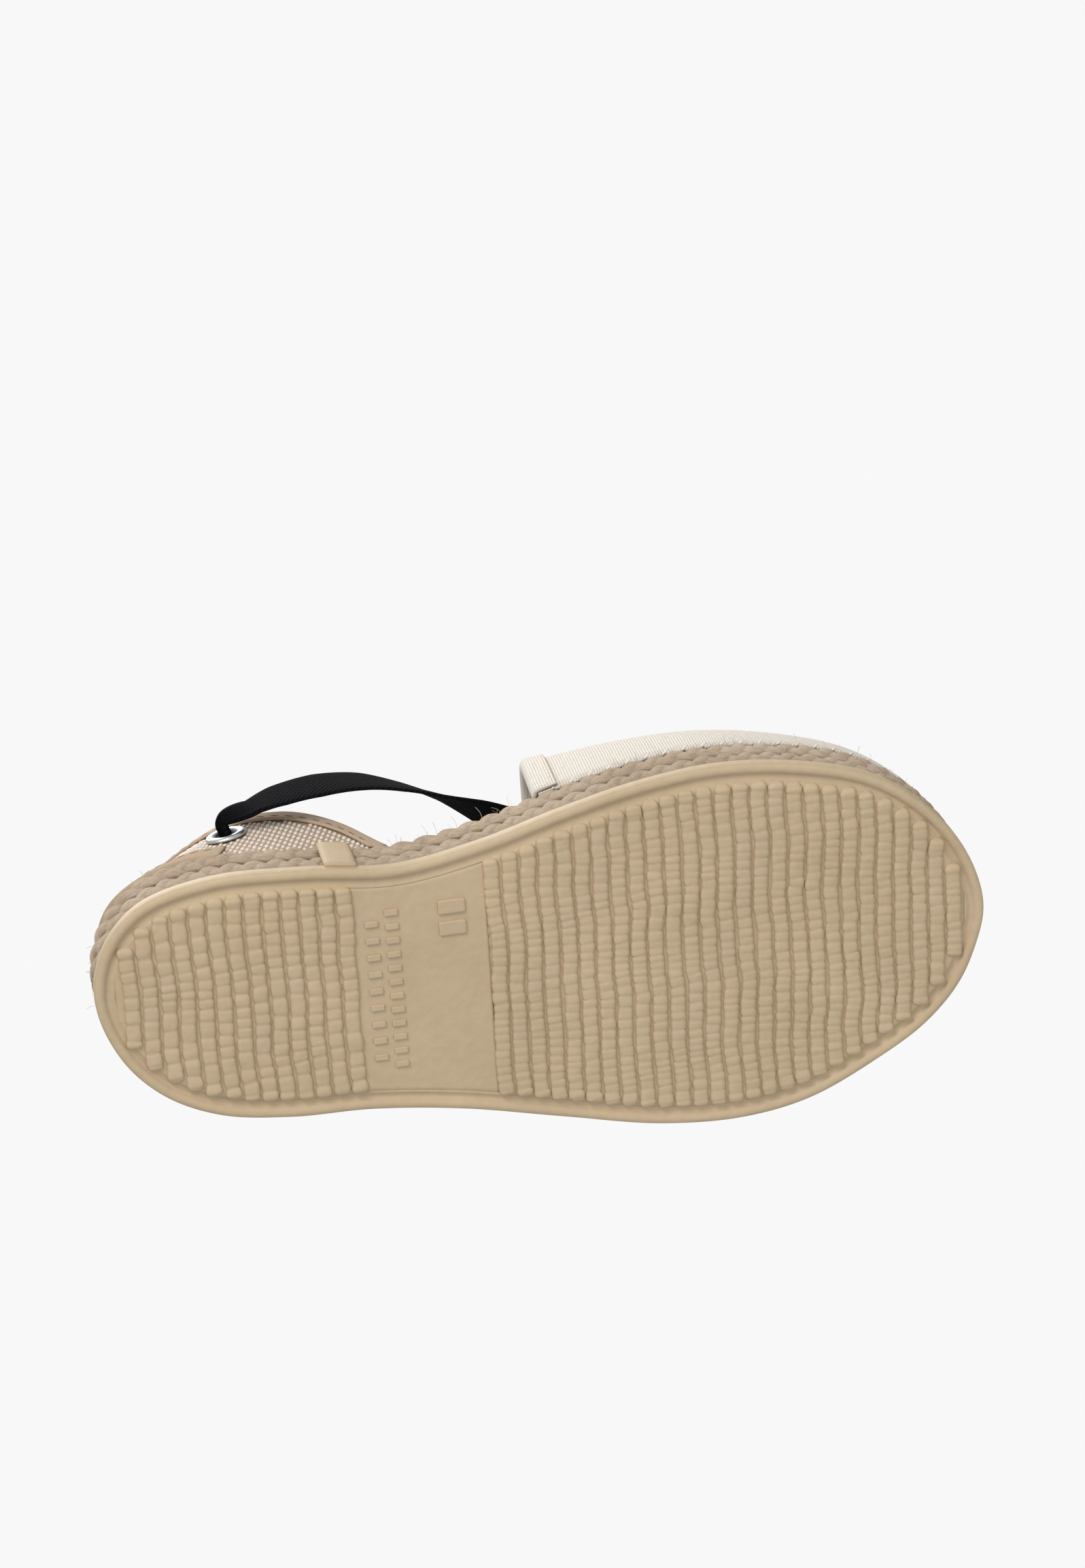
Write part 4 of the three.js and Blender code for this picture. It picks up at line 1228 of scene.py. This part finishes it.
def binding(name, edge, width, cs, material):
    section = u_section(width, OUTER_FACE + 0.1, INNER_FACE - 0.1, BINDING, GAP + BINDING)
    rings = []
    for c in cs:
        h = band_height(c)
        up = strap_middle(c, 1) - strap_middle(c, 0)
        up = up / np.linalg.norm(up)
        fade = min(1.0, max(0.12, h / (width * 1.4)))
        ring = []
        for e, d in section:
            e2 = e * fade if e > 0 else e
            v = 1 - max(e2, 0) / h if edge == 2 else max(e2, 0) / h
            p = strap_point(c, v, d)
            if e < 0:
                p = p + up * (-e if edge == 2 else e)
            ring.append(p)
        rings.append(ring)
    rings = np.array(rings)
    along = run_length(rings[:, 8])
    run = np.cumsum([0] + [math.dist(section[i], section[i + 1]) for i in range(len(section) - 1)])
    flat = np.zeros(rings.shape)
    flat[..., 0] = along[:, None] + run[None]
    flat[..., 1] = along[:, None] - run[None]
    return sweep(name, rings, material, flat.reshape(-1, 3))


top_binding = binding("strap_top_binding", 2, TOP_BINDING, np.linspace(-1, 1, 161), BIND)
low_binding = binding("strap_low_binding", 1, LOW_BINDING, np.linspace(-0.57, 0.57, 101), BIND_LOW)


def binding_stitches():
    spots = []
    for edge, width, back, reach in ((2, TOP_BINDING, 1.0, 0.97), (1, LOW_BINDING, 1.4, 0.56)):
        cs = np.linspace(-reach, reach, 500)
        line = []
        for c in cs:
            h = band_height(c)
            e = (width - back) * min(1.0, max(0.12, h / (width * 1.4)))
            v = 1 - e / h if edge == 2 else e / h
            line.append(np.concatenate([strap_point(c, v, OUTER_FACE + 0.1 + BINDING), strap_normal(c, v)]))
        line = np.array(line)
        at = run_length(line[:, :3])
        for x in np.arange(1.5, at[-1] - 1.5, 3.0):
            q = np.array([np.interp(x, at, line[:, k]) for k in range(6)])
            q2 = np.array([np.interp(x + 0.5, at, line[:, k]) for k in range(3)])
            spots.append((q[:3], q2 - q[:3], q[3:], 1))
    return dashes("strap_stitches", spots, STITCH, 1.9, 0.3, 0.18)


strap_sewing = binding_stitches()

# %% [markdown]
# ## Eyelets
# A metal eyelet is pressed through the band: a rolled flange outside and a washer inside, round one barrel. Both
# are turned shapes, so their profile is swept round the normal of the band at the hole.

# %% eyelets
def eyelet_matrix(side):
    c = side * EYELET_C
    middle = strap_point(c, EYELET_V, 0)
    out = strap_normal(c, EYELET_V)
    turn = Vector((0, 1, 0)).rotation_difference(Vector(out)).to_matrix()
    return middle, np.array(turn)


def lathe(name, profile, side, material, steps=40):
    middle, turn = eyelet_matrix(side)
    rings = []
    for i in range(steps):
        t = 2 * math.pi * i / steps
        ring = [(r * math.sin(t), y, r * math.cos(t)) for r, y in profile]
        rings.append(np.array(ring) @ turn.T + middle)
    return sweep(name, np.array(rings), material, None, closed=True)


def eyelet_parts(side, name):
    rim = OUTER_FACE + 0.25
    back = INNER_FACE - 1.9
    flange = [(2.3, back), (2.8, back), (2.8, rim - 0.1), (3.4, rim - 0.05), (4.0, rim - 0.05), (4.2, rim + 0.1),
              (4.15, rim + 0.35), (3.9, rim + 0.62), (3.5, rim + 0.8), (3.1, rim + 0.82), (2.7, rim + 0.7),
              (2.45, rim + 0.45), (2.3, rim)]
    face = INNER_FACE - 0.35
    washer = [(2.85, face), (2.85, face - 0.5), (3.3, face - 0.75), (3.9, face - 0.6), (4.1, face - 0.3), (4.1, face)]
    return (lathe("eyelet_" + name, flange, side, STEEL), lathe("eyelet_washer_" + name, washer, side, STEEL))


eyelets = {name: eyelet_parts(side, name) for side, name in ((1, "inner"), (-1, "outer"))}

# %% [markdown]
# ## Tie tapes
# Each tape is flat cotton twill, drawn narrow through its eyelet. From there it stands on edge beside the opening,
# turns flat and is tucked into the vamp. It is a cord with a flat section: a smooth run of points, with a width and
# a lean at each, and a bunched section where the eyelet squeezes it.

# %% tapes
# From the heel, out from the middle, above the jute, width, and lean in degrees.
TAPE_ROUTE = [(36.5, 27.6, 16.4, 8, -2), (42, 28.6, 18, 11.5, -3), (50, 29.4, 18.8, 13, -4),
              (59, 29.2, 18.4, 13, -9), (67, 27.2, 17.6, 12, -15), (74, 24.6, 16.2, 11, -23),
              (80.5, 21.8, 14.2, 13, -36), (87, 18.8, 11, 13, -52), (94.5, 16.6, 7.2, 13, -75),
              (104, 15.4, 3.8, 13, -90), (116, 15, 2.6, 13, -90), (130, 14, 2.6, 13, -90), (142, 12.6, 2.6, 13, -90)]
TAPE_WIDTH = 13
TAPE_DRAWN = 3.2
LEAN_IN_EYELET = 30.0


def tape(side, name):
    middle, turn = eyelet_matrix(side)
    through = [np.array([0, y, 0]) @ turn.T + middle for y in (-4.5, -1.5, 1.5, 4.5)]
    outside = [from_heel(s, HEEL_MIDDLE + side * out, float(jute_top(s)) + GAP + z) for s, out, z, _, _ in TAPE_ROUTE]
    points = np.array(through + outside)
    widths = np.array([TAPE_DRAWN] * 4 + [r[3] for r in TAPE_ROUTE])
    leans = np.array([LEAN_IN_EYELET] * 4 + [r[4] for r in TAPE_ROUTE])
    n = 220
    ts = np.linspace(0, 1, n + 1)
    centre = centripetal(points, ts)
    at = ts * (len(points) - 1)
    width = np.interp(at, np.arange(len(points)), widths)
    lean = np.radians(np.interp(at, np.arange(len(points)), leans)) * side
    length = run_length(centre)
    section = superellipse(20, 0.5, 0.5, 4.5)
    rings, flat = [], []
    for i in range(n + 1):
        a, b = centre[max(i - 1, 0)], centre[min(i + 1, n)]
        tan = (b - a) / np.linalg.norm(b - a)
        up = np.array([0, 0, 1.0]) - tan * tan[2]
        up /= np.linalg.norm(up)
        wide = np.array(Matrix.Rotation(lean[i], 3, Vector(tan)) @ Vector(up))
        thick = np.cross(tan, wide)
        bunch = 1 - min(1.0, max(0.0, (width[i] - TAPE_DRAWN) / 8))
        ring, fl = [], []
        for x, y in section:
            fold = bunch * 0.9 * math.sin(x * 9)
            cup = 0.5 * (1 - bunch) * math.cos(x * math.pi)
            depth = y * (0.9 + bunch * 0.6) + (fold * 0.4 + cup * 0.3) * side
            ring.append(centre[i] + wide * x * width[i] + thick * depth)
            fl.append((length[i], x * TAPE_WIDTH, 0 if y > 0 else 1))
        rings.append(ring)
        flat.append(fl)
    ob = sweep("tie_tape_" + name, np.array(rings), TAPE, np.array(flat).reshape(-1, 3))
    return ob, centre, length[-1]


tapes = {name: tape(side, name) for side, name in ((1, "inner"), (-1, "outer"))}

# %% [markdown]
# ## Bodies
# The sole carries most pieces, and the eyelets ride on the strap. The strap's cloth, bindings and stitches and the two
# tapes go on neither body: their places are written into their meshes, and the ends of a line from the sewn base to the
# free back are worked out for each.

# %% bodies
rubber_pieces = (outsole, waist_panel, *beds, heel_ribs, fore_ribs, bars, tab)
jute_pieces = (*braids, jute_back, core, fuzz)
metal_pieces = [piece for pair in eyelets.values() for piece in pair]
for piece in (*rubber_pieces, *jute_pieces, insole, vamp_canvas, vamp_lining, throat_hem, vamp_sewing):
    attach(piece, "root")
for piece in metal_pieces:
    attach(piece, "heel_strap")

fold_start = tuple(world(from_heel(58, 0, float(jute_top(58)) + 1)))
fold_end = tuple(world(from_heel(40, 0, float(jute_top(40)) + 19)))
for piece in (strap_band, strap_lining, strap_floats, top_binding, low_binding, strap_sewing):
    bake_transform(piece)
tape_start = tuple(world(from_heel(66, 0, 31)))
tape_end = tuple(world(from_heel(34, 0, 31)))
for ob, _, _ in tapes.values():
    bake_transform(ob)

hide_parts("rubber_outsole")
for piece in (waist_panel, *beds, heel_ribs, fore_ribs, bars):
    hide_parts("rubber_outsole")
for piece, *nodes in (
    (tab, "side_tab"), (braids[0], "jute_braid_lower"), (braids[1], "jute_braid_upper"),
    (jute_back, "jute_braid_lower", "jute_braid_upper"), (core, "jute_core"), (insole, "insole_sock"),
    (vamp_canvas, "vamp_canvas"), (vamp_lining, "vamp_lining"), (throat_hem, "throat_hem"),
    (vamp_sewing, "vamp_seam_thread"), (strap_band, "strap_band", "strap_gusset_inner", "strap_gusset_outer"),
    (strap_lining, "strap_lining"), (top_binding, "strap_top_binding"), (low_binding, "strap_low_binding"),
):
    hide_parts(*nodes)
for name, (piece, washer) in eyelets.items():
    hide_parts("eyelet_" + name)
    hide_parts("eyelet_washer_" + name)
for name, (ob, centre, total) in tapes.items():
    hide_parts("tie_tape_" + name)

# %% [markdown]
# ## Stage
# A pale floor, a light room and three soft lamps. The camera looks up at the tread, so the floor is one-sided: it
# is seen from above and is clear from below.

# %% stage
CAMERA_RIGHT = (0.0551, -0.9788, -0.1971)
CAMERA_BACK = (-0.4016, 0.159, -0.9019)
CAMERA_AIM = (-0.03475, -0.00252, 0.01263)
CAMERA_DISTANCE = 0.8
LENS = 93.67
FLOOR_DROP = 0.0002


def clear_tree(m):
    m.use_nodes = True
    t = m.node_tree
    t.nodes.clear()
    return t


def floor():
    me = bpy.data.meshes.new("floor")
    half = 6.0
    me.from_pydata([(-half, -half, 0), (half, -half, 0), (half, half, 0), (-half, half, 0)], [], [(0, 1, 2, 3)])
    ob = linked("floor", me)
    m = bpy.data.materials.new("floor")
    t = clear_tree(m)
    out = t.nodes.new("ShaderNodeOutputMaterial")
    geo = t.nodes.new("ShaderNodeNewGeometry")
    paint = node(t, "ShaderNodeBsdfDiffuse", None, Color=(0.9, 0.9, 0.9, 1))
    clear = node(t, "ShaderNodeBsdfTransparent")
    mix = node(t, "ShaderNodeMixShader", None, i0=geo.outputs["Backfacing"], i1=paint.outputs[0], i2=clear.outputs[0])
    t.links.new(mix.outputs[0], out.inputs[0])
    me.materials.append(m)
    ob.location.z = -FLOOR_DROP
    ob.visible_shadow = False
    ob.visible_diffuse = False
    ob.visible_glossy = False
    ob.visible_transmission = False
    return ob


def lamp(name, where, aim, size, power):
    data = bpy.data.lights.new(name, "AREA")
    data.shape = "DISK"
    data.size = size
    data.energy = power
    ob = linked(name, data)
    ob.location = where
    ob.rotation_mode = "QUATERNION"
    ob.rotation_quaternion = (Vector(aim) - Vector(where)).to_track_quat("-Z", "Y")
    return ob


stage = [floor()]
CENTRE = (0, 0, 0.02)
stage.append(lamp("key", (-0.85, 0.45, -0.45), CENTRE, 0.5, 6.5))
stage.append(lamp("sole fill", (-0.1, -0.25, -1.1), CENTRE, 0.9, 2.6))
stage.append(lamp("over", (-0.35, 0.25, 1.1), CENTRE, 0.8, 10.0))
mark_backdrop(*stage)

world_data = bpy.data.worlds.new("room")
bpy.context.scene.world = world_data
wt = clear_tree(world_data)
seen = node(wt, "ShaderNodeBackground", None, Color=(0.939, 0.939, 0.939, 1), Strength=1.0)
light = node(wt, "ShaderNodeBackground", None, Color=(1.0, 1.0, 1.0, 1), Strength=0.55)
ray = wt.nodes.new("ShaderNodeLightPath")
both = node(wt, "ShaderNodeMixShader", None, i0=ray.outputs["Is Camera Ray"], i1=light.outputs[0], i2=seen.outputs[0])
wout = wt.nodes.new("ShaderNodeOutputWorld")
wt.links.new(both.outputs[0], wout.inputs[0])

# %% [markdown]
# ## Camera
# Low and to the inner side, looking up at the tread; the frame's right runs from the heel to the toe.

# %% camera
def camera():
    data = bpy.data.cameras.new("camera")
    ob = linked("camera", data)
    right = Vector(CAMERA_RIGHT).normalized()
    back = Vector(CAMERA_BACK).normalized()
    up = back.cross(right).normalized()
    right = up.cross(back)
    where = Vector(CAMERA_AIM) + back * CAMERA_DISTANCE
    ob.matrix_world = Matrix(((right.x, up.x, back.x, where.x), (right.y, up.y, back.y, where.y),
                              (right.z, up.z, back.z, where.z), (0, 0, 0, 1)))
    data.sensor_width = 36
    data.lens = LENS
    data.clip_start, data.clip_end = 0.01, 20
    bpy.context.scene.camera = ob


camera()
scene = bpy.context.scene
scene.view_settings.view_transform = "Standard"
scene.view_settings.look = "None"
low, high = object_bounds()
